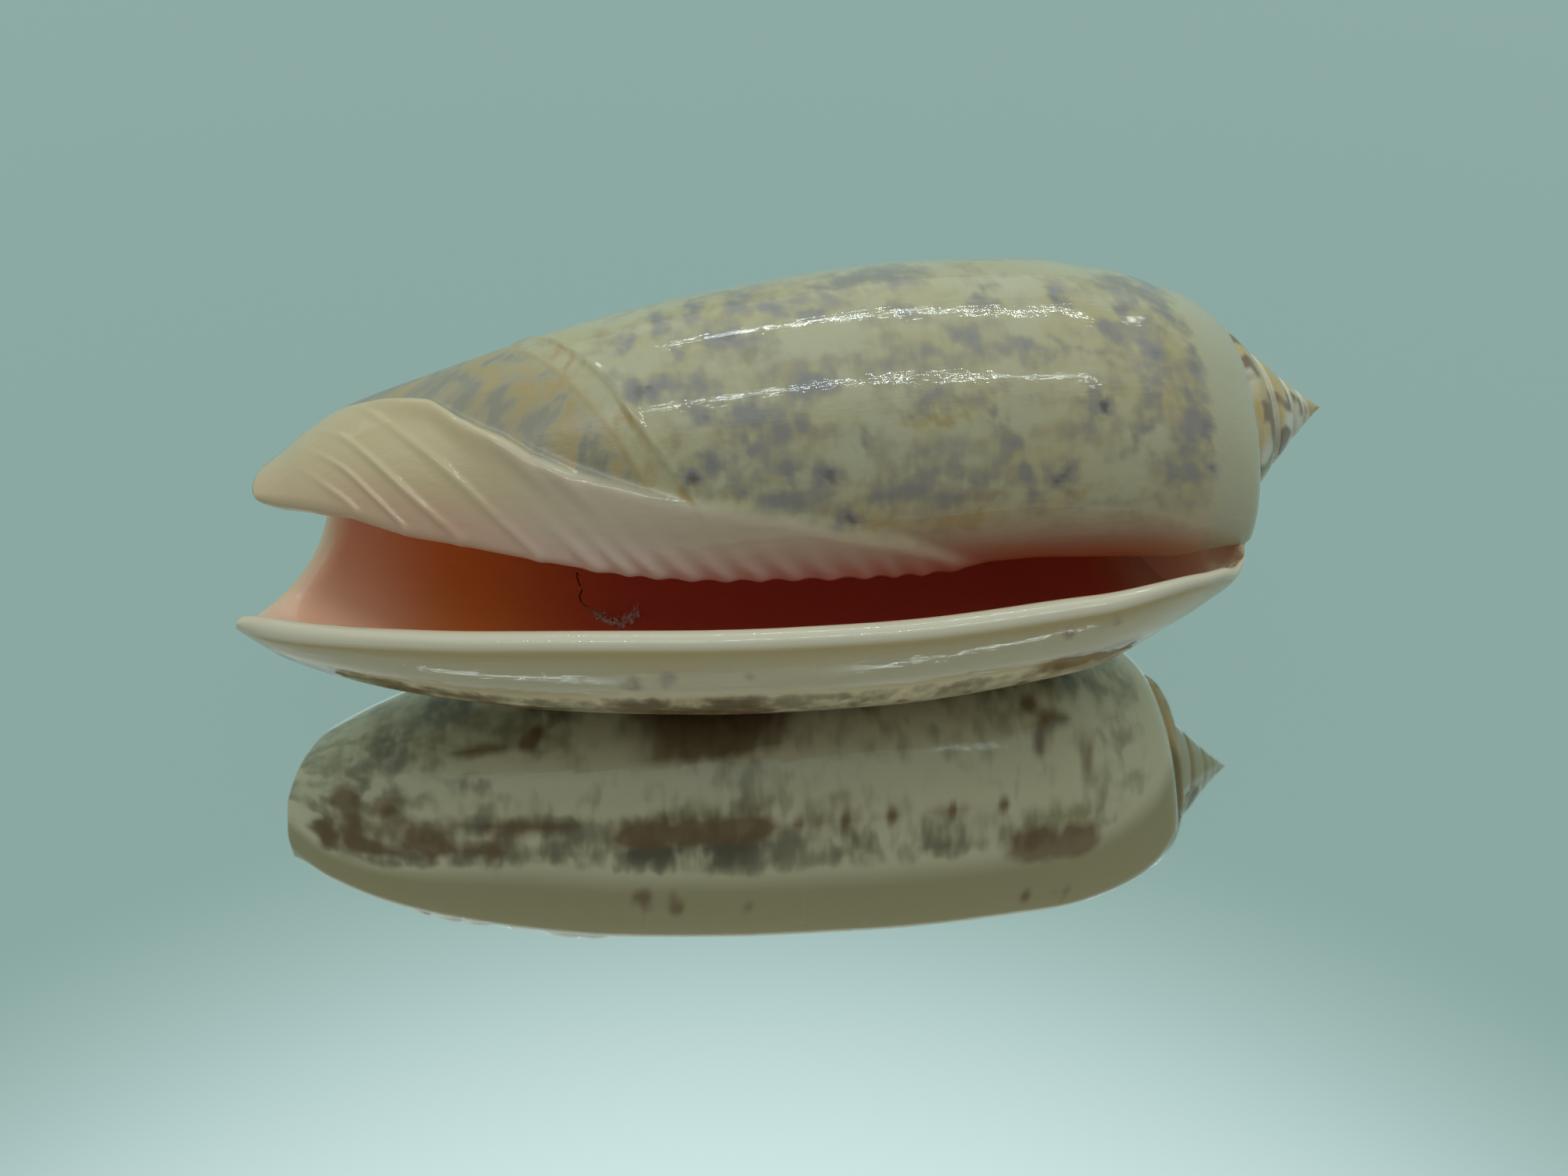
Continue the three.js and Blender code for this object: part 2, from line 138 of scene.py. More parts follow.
class Side(Enum):
    """The half of the last turn that a marking lies on, and its first growth angle."""

    UNDER = 0.0
    TOP = 360.0


class Pigment(Enum):
    """Colour of a listed marking, and the vertex attribute that carries it."""

    GREY = "grey_marks"
    OCHRE = "ochre_marks"
    BROWN = "brown_marks"


@dataclass(frozen=True)
class Mark:
    """One marking of the shell.

    Its place is a station in mm and an angle in degrees, 0 to the front and 90 up, and its half
    length lies along the shell and its half width around it, in the same units.
    """

    pigment: Pigment
    side: Side
    station: float
    angle: float
    half_length: float
    half_width: float
    strength: float = 1.0


@dataclass(frozen=True)
class GrowthForm:
    """The rule that the shell grows by: a radius for each growth turn and station.

    A growth turn counts backwards from the outer lip, 0 at the lip and 1 where the whorl runs
    under it. A station is the distance along the axis from the siphon end. Lengths in mm.
    A span is where a change starts and where it is complete: stations for a name that ends in
    start, end or stations, growth turns for one in turns, fold numbers for one in folds, and
    the distance inside an edge for one in slope.
    """

    length: float = 45.0
    axis_rise: float = 3.4
    rest_flat_depth: float = 0.3
    lip_wall: float = 1.05
    lip_wall_rear: float = 0.45
    wall_growth_inward: float = 0.5
    cavity_depth_turns: float = 0.84
    siphon_depth_turns: float = 0.48
    hollow_end: Span = (35.0, 39.0)
    cone_scale: float = 0.74
    cone_power: float = 1.11
    shoulder_width: Curve = Curve((
        (0, 1.1), (0.15, 1.7), (0.4, 1.95), (0.75, 1.85), (0.95, 1.4), (1.05, 1.2), (2, 1.0),
    ))
    channel_depth: float = 0.3
    channel_width: float = 0.35
    front_rim_reach: float = 9.0
    callus_height: float = 0.28
    crest_height: float = 0.22
    ridge_height: float = 0.09
    band_sunk: float = 0.06
    growth_rate: float = -0.187
    growth_bend: float = 0.781
    even_growth_stations: Span = (33, 39)
    pad_height: float = 0.9
    pad_stations: Span = (31, 38)
    rear_pad_stations: Span = (38, 41)
    pad_turns: Span = (0.78, 1.02)
    corner_height: float = 0.3
    corner_stations: Span = (35, 38.5)
    corner_turns: Span = (0.9, 1.04)
    onto_back_turns: Span = (0.35, 0.6)
    off_back_turns: Span = (0.75, 1.0)
    shoulder_roundness: float = 2.4
    whorl_bulge: float = 0.03
    groove_depth: float = 0.1
    groove_width: float = 0.08
    under_lip_turns: Span = (0.12, 0.55)
    last_turn: float = 1.3
    columella_side_turn: float = 0.35
    callus_slope: Span = (-0.3, 0.45)
    callus_start: Span = (3, 8)
    callus_end: Span = (27, 31)
    band_slope: Span = (-0.12, 0.12)
    band_under_callus_slope: Span = (-0.3, 0.3)
    band_start: Span = (6, 9)
    band_end: Span = (18.2, 19.5)
    ridge_width: float = 0.16
    ridge_end: Span = (17.8, 19)
    crest_inside: float = 0.5
    crest_width: float = 0.5
    crest_end: Span = (12.5, 15.5)
    front_fold_reach: float = 42.0
    rear_fold_reach: float = 11.0
    reach_folds: Span = (3.3, 3.9)
    far_fold_share: float = 0.08
    upper_part_share: float = 0.55
    upper_part_inside: float = 0.8
    upper_part_width: float = 0.6
    upper_part_first_folds: Span = (4.4, 4.8)
    upper_part_last_folds: Span = (6.2, 6.6)
    fold_slope: Span = (-0.1, 0.5)
    fold_start: Span = (3.5, 7)
    fold_end: Span = (37, 38.6)
    rear_fold_loss: float = 0.45
    rear_fold_stations: Span = (26, 30)
    meeting_turn: float = 0.95
    meeting_rounds: int = 12
    lip_profile: Curve = Curve((
        (0, 2.7), (1, 3.6), (2.2, 4.5), (5.4, 6.0), (9.9, 7.4), (15.3, 8.5), (21, 9.25),
        (27, 9.6), (32.4, 9.4), (36.9, 8.35), (39.5, 7.1), (41, 6.2), (43, 4.6), (45, 3),
    ))
    inner_profile: Curve = Curve((
        (0, 1.2), (2.5, 2.3), (5.4, 3.25), (9.9, 4.1), (15.3, 4.75), (21, 5.0), (27, 5.25),
        (32.4, 5.4), (36.9, 4.9), (39.5, 4.3), (41, 3.9), (43, 2.9), (45, 2),
    ))
    back_swell: Curve = Curve((
        (0, -0.9), (3, -0.55), (4.2, -0.28), (6, -0.1), (9, -0.08), (13, 0.02), (18, 0.15),
        (22, 0.18), (27, 0.12), (30.5, -0.1), (33, -0.28), (35, -0.12), (36.8, 0.22),
        (38.5, 0.12), (40, 0), (45, 0),
    ))
    front_rim: Curve = Curve((
        (0.0, 0.75), (0.04, 0.5), (0.10, 0.5), (0.16, 0.75), (0.225, 1.25), (0.29, 2.0),
        (0.347, 2.85), (0.385, 3.35), (0.44, 3.8), (0.50, 3.85), (0.56, 3.3), (0.63, 2.25),
        (0.70, 2.0), (0.78, 2.4), (0.86, 3.5), (1.0, 5.0), (1.2, 5.0),
    ))
    lip_angle: Curve = Curve((
        (0, -32), (1, -22), (2.4, -13), (5, -6.5), (8, -4), (13, -2.8), (18, -4), (24, -5.5),
        (30, -6.5), (34, -7.5), (36, -9), (38, -13.5), (39.5, -22), (45, -22),
    ))
    columella_angle: Curve = Curve((
        (0, 102), (2, 86), (3.5, 67), (5, 53), (5.8, 48.5), (6.8, 41), (8, 33.5), (9.5, 27.5),
        (11.3, 20), (13.3, 12), (15.6, 3), (18.6, -6.5), (21.8, -13), (25, -19.5), (28, -24),
        (32, -26.5), (36, -28), (38.6, -25), (39.8, -22), (45, -22),
    ))
    suture_from_apex: Curve = Curve((
        (0, 5.05), (0.33, 4.7), (0.66, 4.45), (1, 4.36), (1.5, 3.6), (2, 2.85), (3, 1.7),
        (4, 1.05), (5, 0.65), (6, 0.4), (7, 0.25), (8, 0.15),
    ))
    callus_edge: Curve = Curve((
        (5, 120), (8.1, 96.5), (9.2, 89.8), (10.2, 77.3), (10.9, 70.6), (11.8, 64), (12.7, 55.3),
        (14.2, 46.7), (16.3, 37.2), (18.1, 30.5), (21.6, 20), (23.9, 10.4), (26.2, 0.8),
        (28.4, -15.4), (30, -30), (34, -60),
    ))
    band_edge: Curve = Curve((
        (4, 250), (8.5, 194), (13.8, 110), (14.9, 91.7), (15.8, 77.3), (16.4, 64), (17, 52.5),
        (17.6, 42), (18.1, 33.3), (18.6, 24), (20, 0),
    ))
    fold_count: Curve = Curve((
        (2.5, -1), (6, 0), (7.75, 1), (9.65, 2), (12.4, 3), (14.4, 4), (16.6, 6), (19.2, 8),
        (21.8, 10), (24.6, 12), (28.2, 15), (31.9, 17), (36.2, 20), (40, 22),
    ))
    fold_slant: Curve = Curve((
        (6, 0.105), (11, 0.1), (16, 0.075), (22, 0.057), (27, 0.04), (32, 0.013), (40, 0),
    ))

    def growth_share(self, turn: Array, station: Array) -> Array:
        """Share of the way from the lip profile to the inner profile."""
        grown = self.growth_rate * turn + self.growth_bend * turn * turn
        body = grown / (self.growth_rate + self.growth_bend)
        return blend(body, turn, smooth_step(*self.even_growth_stations, station))

    def body_radius(self, turn: Array, station: Array) -> Array:
        """Radius of the last whorl without its shoulder.

        Args:
            turn: growth turns.
            station: stations, in an array of the same shape.

        Returns:
            The radius at each of them, in mm.
        """
        share = self.growth_share(turn, station)
        lip = self.lip_profile.smooth(station)
        inner = self.inner_profile.smooth(station)
        pad = self.pad_height * smooth_step(*self.pad_stations, station)
        pad = pad + smooth_step(*self.rear_pad_stations, station)
        on_back = smooth_step(*self.onto_back_turns, turn) * fall(*self.off_back_turns, turn)
        swell = self.back_swell.smooth(station) * on_back
        corner = self.corner_height * smooth_step(*self.corner_stations, station)
        corner = corner * smooth_step(*self.corner_turns, turn)
        padded = pad * smooth_step(*self.pad_turns, turn) + corner
        return lip ** (1 - share) * inner ** share + padded + swell

    def turns_to(self, distance: Array) -> Array:
        """Growth turn whose suture lies that far from the apex."""
        last = self.suture_from_apex.points[-1][0]
        turns = np.linspace(0, last, 400 * int(last) + 1)
        sutures = self.suture_from_apex.smooth(turns)
        return np.interp(-distance, -sutures, turns)

    def cone_radius(self, distance: Array) -> Array:
        """Radius of the plain cone of the spire."""
        return self.cone_scale * np.maximum(distance, 1e-6) ** self.cone_power

    def spire_radius(self, turn: Array, distance: Array) -> Array:
        """Radius of the spire with its whorls and sutures.

        Args:
            turn: growth turns.
            distance: distances from the apex in mm, in an array of the same shape.

        Returns:
            The radius at each of them, in mm.
        """
        passed = self.turns_to(distance) - turn
        phase = passed - np.floor(passed)
        near_suture = np.minimum(phase, 1 - phase)
        groove = self.groove_depth * hill(near_suture, 0, self.groove_width)
        bulge = self.whorl_bulge * np.sin(np.pi * phase)
        return self.cone_radius(distance) * (1 + bulge - groove)

    def channel_radius(self, turn: Array) -> Array:
        """Radius at the bottom of the channelled suture."""
        return self.cone_radius(self.suture_from_apex.smooth(turn)) - self.channel_depth

    def whorl_radius(self, turn: Array, station: Array) -> Array:
        """Radius of the last whorl with its shoulder rounded into the channel."""
        width = self.shoulder_width.smooth(turn)
        shoulder = self.length - self.suture_from_apex.smooth(turn) - width
        x = np.clip((station - shoulder) / width, 0, 1)
        rounding = np.sqrt(np.maximum(0, 1 - x ** self.shoulder_roundness))
        return blend(self.channel_radius(turn), self.body_radius(turn, station), rounding)

    def outer_radius(self, turn: Array, station: Array) -> Array:
        """Radius of what shows from outside, without the relief of the columella side.

        Args:
            turn: growth turns, up to the last one that the form knows.
            station: stations, in an array of the same shape.

        Returns:
            The radius at each of them, in mm.
        """
        distance = self.length - station
        suture = self.suture_from_apex.smooth(turn)
        spire = self.spire_radius(turn, distance)
        earlier = fall(*self.under_lip_turns, turn)
        under_lip = blend(spire, self.whorl_radius(turn + 1, station), earlier)
        next_suture = self.suture_from_apex.smooth(turn + 1)
        upper = np.where(distance > next_suture, under_lip, spire)
        x = np.clip((suture - distance) / self.channel_width, 0, 1)
        upper = blend(self.channel_radius(turn), upper, rounded_rise(x))
        return np.where(distance >= suture, self.whorl_radius(turn, station), upper)

    def to_callus(self, angle: Array, station: Array, radius: Array) -> Array:
        """Distance inside the edge of the callus, in mm, less than 0 outside it."""
        return (self.callus_edge.straight(station) - angle) * DEGREE * radius

    def to_band(self, angle: Array, station: Array, radius: Array) -> Array:
        """Distance inside the edge of the siphonal band, in mm."""
        return (self.band_edge.straight(station) - angle) * DEGREE * radius

    def to_fold_edge(self, angle: Array, station: Array, radius: Array) -> Array:
        """Distance above the folded edge of the columella, in mm."""
        return (angle - self.columella_angle.smooth(station)) * DEGREE * radius

    def relief(self, angle: Array, station: Array, radius: Array) -> Array:
        """Callus, fasciole crest and band above the smooth whorl.

        Args:
            angle: angles around the axis in degrees, 0 to the front and 90 up.
            station: stations, in an array of the same shape.
            radius: radius of the smooth whorl there, in mm.

        Returns:
            The height to add to the radius, in mm.
        """
        callus_in = self.to_callus(angle, station, radius)
        band_in = self.to_band(angle, station, radius)
        front = smooth_step(*self.band_start, station)
        callus = self.callus_height * smooth_step(*self.callus_slope, callus_in)
        callus = callus * smooth_step(*self.callus_start, station)
        callus = callus * fall(*self.callus_end, station)
        sunk = smooth_step(*self.band_slope, band_in)
        sunk = sunk * fall(*self.band_under_callus_slope, callus_in)
        sunk = sunk * front * fall(*self.band_end, station)
        ridge = hill(band_in, 0, self.ridge_width) * front * fall(*self.ridge_end, station)
        crest = hill(callus_in, self.crest_inside, self.crest_width) * front
        crest = crest * fall(*self.crest_end, station)
        raised = callus + self.ridge_height * ridge + self.crest_height * crest
        return raised - self.band_sunk * sunk

    def fold_place(self, angle: Array, station: Array) -> Array:
        """Where the fold through a point meets the edge, counted in folds from the front."""
        above = angle - self.columella_angle.smooth(station)
        return self.fold_count.smooth(station + self.fold_slant.smooth(station) * above)

    def fold_strength(self, angle: Array, station: Array, radius: Array) -> Array:
        """How strongly the folds of the columella stand out.

        Args:
            angle: angles around the axis in degrees, 0 to the front and 90 up.
            station: stations, in an array of the same shape.
            radius: radius of the whorl there, in mm.

        Returns:
            The strength at each point, from 0 to 1.
        """
        above = np.maximum(angle - self.columella_angle.smooth(station), 0)
        number = self.fold_place(angle, station)
        reach = blend(self.front_fold_reach, self.rear_fold_reach,
                      smooth_step(*self.reach_folds, number))
        near = blend(self.far_fold_share, 1, hill(above, 0, reach))
        callus_in = self.to_callus(angle, station, radius)
        upper = smooth_step(*self.upper_part_first_folds, number)
        upper = upper * fall(*self.upper_part_last_folds, number)
        upper = upper * hill(callus_in, self.upper_part_inside, self.upper_part_width)
        near = np.maximum(near, self.upper_part_share * upper)
        weaker = self.rear_fold_loss * smooth_step(*self.rear_fold_stations, station)
        along = smooth_step(*self.fold_start, station) * (1 - weaker)
        along = along * fall(*self.fold_end, station)
        return near * along * smooth_step(*self.fold_slope, callus_in)

    def station_of(self, row: Array, turn: Array) -> Array:
        """Station of a row of the surface, squeezed so that row 0 is the front rim."""
        rim = self.front_rim.smooth(turn)
        squeezed = blend(rim, self.front_rim_reach, row / self.front_rim_reach)
        return np.where(row < self.front_rim_reach, squeezed, row)

    def raised(self, points: Array) -> Array:
        """Points turned so that the shell's axis rises toward the spire."""
        rise = self.axis_rise * DEGREE
        turn = np.array([[math.cos(rise), 0, -math.sin(rise)], [0, 1, 0],
                         [math.sin(rise), 0, math.cos(rise)]])
        return points @ turn.T

    def columella_turn(self, row: Array, open_share: Array) -> Array:
        """Growth turn at which each row meets the edge of the columella.

        Args:
            row: rows of the surface, as a column.
            open_share: 1 where the aperture is open and 0 behind its rear end.

        Returns:
            The growth turn of each row, found by closing half of what is left in each round.
        """
        turn = np.full_like(row, self.meeting_turn)
        for _ in range(self.meeting_rounds):
            station = self.station_of(row, turn)
            gap = self.lip_angle.smooth(station) - self.columella_angle.smooth(station)
            turn = blend(turn, 1 + gap / FULL_TURN, 0.5)
        return blend(1.0, turn, open_share)


def polar(station: Array, angle: Array, radius: Array) -> Array:
    """Points at a station, an angle (0 to the front, 90 up) and a radius, in mm."""
    station, angle, radius = np.broadcast_arrays(station, angle, radius)
    turned = angle * DEGREE
    return np.stack([station, -radius * np.cos(turned), radius * np.sin(turned)], -1)


@dataclass
class Patch:
    """A grid of surface points, rows by columns, with the fields that the glaze reads."""

    points: Array
    fields: Fields

    @staticmethod
    def joined(patches: list["Patch"]) -> "Patch":
        """One patch from several laid side by side."""
        points = np.concatenate([patch.points for patch in patches], 1)
        names = patches[0].fields.keys()
        fields = {n: np.concatenate([p.fields[n] for p in patches], 1) for n in names}
        return Patch(points, fields)

    def reversed(self) -> "Patch":
        """The same patch with its columns in the other order."""
        return Patch(self.points[:, ::-1], {n: f[:, ::-1] for n, f in self.fields.items()})


def cubic(start: Array, near_start: Array, near_stop: Array, stop: Array, t: Array) -> Array:
    """Points of a cubic Bezier curve at shares t of its way."""
    arc = (1 - t) ** 3 * start + 3 * t * (1 - t) ** 2 * near_start
    return arc + 3 * t * t * (1 - t) * near_stop + t ** 3 * stop


@dataclass(frozen=True)
class Ripple:
    """Uneven wave that frays the outlines of the markings: a wide part and a narrow part."""

    heights: Span
    main_rates: Span
    cross_rates: Span
    wide_bend: float = 2.0

    def height(self, main: Array, cross: Array) -> Array:
        """Height of the wave, which runs along main and is bent by cross."""
        bent = self.wide_bend * np.sin(self.cross_rates[0] * cross)
        wide = self.heights[0] * np.sin(self.main_rates[0] * main + bent)
        narrow = self.heights[1] * np.sin(self.main_rates[1] * main + self.cross_rates[1] * cross)
        return wide + narrow


@dataclass(frozen=True)
class HollowForm:
    """Sizes of the hollow behind the aperture, lengths in mm and angles in degrees.

    A span is a start and a complete end in stations, or shares of the way into the hollow in a
    name that ends in run. Of a pair of steps or shares the first holds where the hollow has run
    out and the second where it is deep. lip_end_turns is in growth turns.
    """

    aperture_end: Span = (39.2, 39.65)
    wall_thins: Span = (30, 39)
    coil_start: Span = (9, 17)
    lip_end_turns: float = 0.03
    wall_growth_run: Span = (0, 0.6)
    columella_steps: Span = (0.1, 0.85)
    siphon_end_rounding: float = 2.0
    columella_end_rounding: float = 1.6
    core_shares: Span = (0.85, 0.42)
    core_gap: float = 0.3
    least_core: float = 0.1
    core_run: Span = (0, 0.3)
    bulge: float = 5.2
    bulge_end_share: float = 0.92
    swing_at_edge: float = 48.0
    swing_at_end: float = 50.0
    least_swing: float = 2.0
    coil_delay: float = 0.06
    overhang_slope: float = 38.6
    overhang_margin: float = 0.14
    overhang_run: Span = (0, 0.15)
    least_below: float = 0.02
    least_radius: float = 0.4
    limit_sharpness: float = 6.0
    fold_fade: float = 0.5
    rim_to_edge: float = 0.4
    end_roundness: float = 0.8


@dataclass(frozen=True)
class HollowSection:
    """What every row of the surface knows about its hollow, as columns."""

    row: Array
    open_share: Array
    deep: Array
    thin: Array
    edge_turn: Array
    cavity_turn: Array
    end_wall: Array


@dataclass(frozen=True)
class FloorRun:
    """The two ends of the hollow's floor in every row, each as start and stop."""

    stations: tuple[Array, Array]
    angles: tuple[Array, Array]
    radii: tuple[Array, Array]

    def ends(self) -> tuple[Array, Array]:
        """Points where the floor starts and stops."""
        start, stop = (polar(*place) for place in zip(self.stations, self.angles, self.radii))
        return start, stop


@dataclass(frozen=True)
class ShellSurface:
    """Closed surface of the shell: outside, folded edge, hollow and lip, in that order."""

    form: GrowthForm
    marks: tuple[Mark, ...]
    hollow: HollowForm = HollowForm()
    station_ripple: Ripple = Ripple((0.16, 0.09), (0.5, 1.3), (1.9, 3.1))
    turn_ripple: Ripple = Ripple((1.2, 0.7), (5.3, 11.0), (0.21, 0.4))
    ripple_underneath: float = 0.3
    ripple_turns: Span = (0.3, 0.45)
    mark_core: float = 0.8
    mark_falloff: float = 1.1
    station_runs: tuple[tuple[float, float, int], ...] = (
        (0, 2, 24), (2, 9, 58), (9, 27, 142), (27, 36, 62), (36, 41.4, 44), (41.4, 44.93, 56),
    )
    back_columns: int = 44
    front_columns: int = 84
    edge_columns: int = 5
    end_columns: int = 3
    lip_columns: int = 8

    def rows(self) -> Array:
        """Places of the rows along the shell, as a column."""
        runs = [np.linspace(a, b, count + 1)[1:] for a, b, count in self.station_runs]
        return np.concatenate([[0.0], *runs])[:, None]

    def outside(self, row: Array, turn: Array, depth: Array = 0.0, inside: Array = 0.0) -> Patch:
        """A patch that follows the outside of the shell.

        Args:
            row: rows of the surface, as a column.
            turn: growth turn of each point.
            depth: how far below the outside each point lies, in mm.
            inside: 0 on the outside of the wall and 1 on the hollow's side.

        Returns:
            The patch, with every field of the glaze.
        """
        form = self.form
        row, turn = np.broadcast_arrays(row, turn)
        station = form.station_of(row, turn)
        angle = form.lip_angle.smooth(station) - FULL_TURN * turn
        radius = form.outer_radius(np.clip(turn, 0, form.last_turn), station)
        behind = turn > form.columella_side_turn
        seen_angle = np.where(behind, angle + FULL_TURN, angle)
        radius = radius + np.where(behind, form.relief(seen_angle, station, radius), 0)
        points = polar(station, angle, radius - depth)
        return Patch(points, self.fields(station, turn, seen_angle, radius, inside))

    def fields(self, station: Array, turn: Array, angle: Array, radius: Array,
               inside: Array) -> Fields:
        """Fields of the glaze at points of the surface.

        Args:
            station: station of each point, in mm.
            turn: growth turn of each point.
            angle: angle around the axis, in degrees, 0 to the front and 90 up.
            radius: radius of the outside there, in mm.
            inside: 0 on the outside of the wall and 1 on the hollow's side.

        Returns:
            The fields by name.
        """
        form = self.form
        behind = turn > form.columella_side_turn
        place = (angle, station, radius)
        from_lip = turn * 2 * np.pi * radius
        from_front = station - form.front_rim.smooth(turn)
        passed = form.turns_to(form.length - station) - turn
        made = {
            "along": station,
            "growth": turn * GROWTH_CIRCUMFERENCE,
            "angle": angle,
            "callus": np.where(behind, form.to_callus(*place), -FAR),
            "band": np.where(behind, form.to_band(*place), -FAR),
            "fold": np.where(behind, form.to_fold_edge(*place), FAR),
            "fold_strength": np.where(behind, form.fold_strength(*place), 0),
            "fold_place": form.fold_place(angle, station),
            "lip_side": np.minimum(from_lip, FAR),
            "rim": np.minimum(from_lip, from_front),
            "suture": np.cos(2 * np.pi * passed),
            "inside": inside,
        }
        made.update(self.mark_fields(station, turn))
        return {name: np.broadcast_to(value, station.shape) for name, value in made.items()}

    def mark_fields(self, station: Array, turn: Array) -> Fields:
        """Strength of the listed markings.

        Args:
            station: station of each point, in mm.
            turn: growth turn of each point.

        Returns:
            One field for each pigment.
        """
        made = {pigment.value: np.zeros(station.shape) for pigment in Pigment}
        around = FULL_TURN * turn
        calm = blend(self.ripple_underneath, 1.0, smooth_step(*self.ripple_turns, turn))
        bent_station = station + self.station_ripple.height(around, station)
        bent_around = around + self.turn_ripple.height(station, around) * calm
        for mark in self.marks:
            centre = self.form.lip_angle.smooth(mark.station) - mark.angle + mark.side.value
            x = (bent_station - mark.station) / mark.half_length
            y = (bent_around - centre) / mark.half_width
            away = (x * x + y * y) ** self.mark_falloff
            blob = mark.strength * np.exp(-self.mark_core * away)
            made[mark.pigment.value] = np.maximum(made[mark.pigment.value], blob)
        return made

    def sections(self) -> Patch:
        """The closed section of the shell at every row."""
        form, hollow = self.form, self.hollow
        row = self.rows()
        open_share = fall(*hollow.aperture_end, row)
        deep = fall(*form.hollow_end, row)
        thin = rounded_rise(row / hollow.siphon_end_rounding)
        wall = blend(form.lip_wall, form.lip_wall_rear, smooth_step(*hollow.wall_thins, row))
        wall = wall * thin * open_share
        half = wall / 2
        at_lip = form.outer_radius(np.zeros_like(row), form.station_of(row, np.zeros_like(row)))
        lip_turn = half / (2 * np.pi * at_lip) * open_share
        edge_turn = form.columella_turn(row, open_share)
        middle_turn = lip_turn + hollow.lip_end_turns + form.siphon_depth_turns
        coiled = smooth_step(*hollow.coil_start, row)
        depth_turns = blend(form.siphon_depth_turns, form.cavity_depth_turns, coiled)
        cavity_turn = lip_turn + (hollow.lip_end_turns + depth_turns * deep) * open_share
        end_wall = wall * (1 + form.wall_growth_inward)
        section = HollowSection(row, open_share, deep, thin, edge_turn, cavity_turn, end_wall)

        q_back = np.linspace(0, 1, self.back_columns)[None]
        q_front = np.linspace(0, 1, self.front_columns)[None]
        back = self.outside(row, blend(lip_turn, middle_turn, q_back))
        front = self.outside(row, blend(middle_turn, edge_turn, q_front))
        columella, edge = self.columella_edge(section)
        grown = form.wall_growth_inward * smooth_step(*hollow.wall_growth_run, q_back)
        roof = self.outside(row, blend(lip_turn, cavity_turn, q_back), wall * (1 + grown), 1.0)
        floor = self.floor(section, front, edge)
        closing = self.closing(section, floor, roof)
        swing = np.pi * inner_shares(self.lip_columns)[None]
        lip = self.outside(
            row, lip_turn * (1 - np.sin(swing)), half * (1 - np.cos(swing)),
            (1 - np.cos(swing)) / 2 + 0 * row)
        return Patch.joined([
            back, front, columella, floor, closing, roof.reversed(), lip.reversed()])

    def columella_edge(self, section: HollowSection) -> tuple[Patch, dict[str, Array]]:
        """Rounds the edge of the columella.

        Args:
            section: what every row knows about its hollow.

        Returns:
            The rounded edge, and the values that the floor starts from.
        """
        start = self.outside(section.row, section.edge_turn)
        station = start.fields["along"]
        angle = start.fields["angle"] - FULL_TURN
        radius = np.hypot(start.points[..., 1], start.points[..., 2])
        rounding = 0.5 * blend(*self.hollow.columella_steps, section.deep)
        rounding = rounding * section.thin * section.open_share
        swing = np.pi * inner_shares(self.edge_columns)[None]
        inward = rounding * (1 - np.cos(swing))
        past = rounding * np.sin(swing) / radius / DEGREE
        points = polar(station, angle - past, radius - inward)
        fields = {n: np.broadcast_to(f, points.shape[:2]) for n, f in start.fields.items()}
        fields["inside"] = np.broadcast_to((1 - np.cos(swing)) / 2, points.shape[:2])
        fields["fold"] = -inward
        edge = {"station": station, "angle": angle, "radius": radius, "rounding": rounding,
                "strength": start.fields["fold_strength"]}
        return Patch(points, fields), edge

    def end_angle(self, section: HollowSection) -> Array:
        """Angle at which the hollow ends in every row, in degrees."""
        station = self.form.station_of(section.row, section.cavity_turn)
        return self.form.lip_angle.smooth(station) - FULL_TURN * section.cavity_turn

    def floor_run(self, section: HollowSection, edge: dict[str, Array]) -> FloorRun:
        """Where the floor of the hollow starts, past the edge, and where it stops.

        Args:
            section: what every row knows about its hollow.
            edge: values of the rounded edge of the columella.

        Returns:
            Stations, angles and radii of both ends.
        """
        hollow = self.hollow
        end = self.outside(section.row, section.cavity_turn)
        roof = np.hypot(end.points[..., 1], end.points[..., 2]) - section.end_wall
        core = np.maximum(blend(*hollow.core_shares, section.deep) * roof, hollow.least_core)
        core = np.minimum(roof - hollow.core_gap * section.thin, core)
        return FloorRun(
            (edge["station"], end.fields["along"]),
            (edge["angle"], self.end_angle(section)),
            (edge["radius"] - 2 * edge["rounding"],
             blend(roof, core, section.thin * section.open_share)))

    def siphon_floor(self, section: HollowSection, edge: dict[str, Array], run: FloorRun,
                     q: Array) -> Array:
        """Floor near the siphon end, a plain arc from the edge to the end of the hollow.

        Args:
            section: what every row knows about its hollow.
            edge: values of the rounded edge of the columella.
            run: the two ends of the floor.
            q: shares of the way between them.

        Returns:
            The points of the floor, in mm.
        """
        hollow, deep = self.hollow, section.deep
        start, stop = run.ends()
        bulge = blend(edge["radius"] - edge["rounding"], hollow.bulge, deep)
        near_start = polar(
            blend(*run.stations, 1 / 3),
            run.angles[0] + FULL_TURN - hollow.swing_at_edge * deep - hollow.least_swing, bulge)
        near_stop = polar(
            blend(*run.stations, 2 / 3),
            run.angles[1] + hollow.swing_at_end * deep + hollow.least_swing,
            bulge * hollow.bulge_end_share)
        bent = ((1 - deep) * section.open_share)[..., None]
        near_start = blend(blend(start, stop, 1 / 3), near_start, bent)
        near_stop = blend(blend(start, stop, 2 / 3), near_stop, bent)
        return cubic(start, near_start, near_stop, stop, q[..., None])

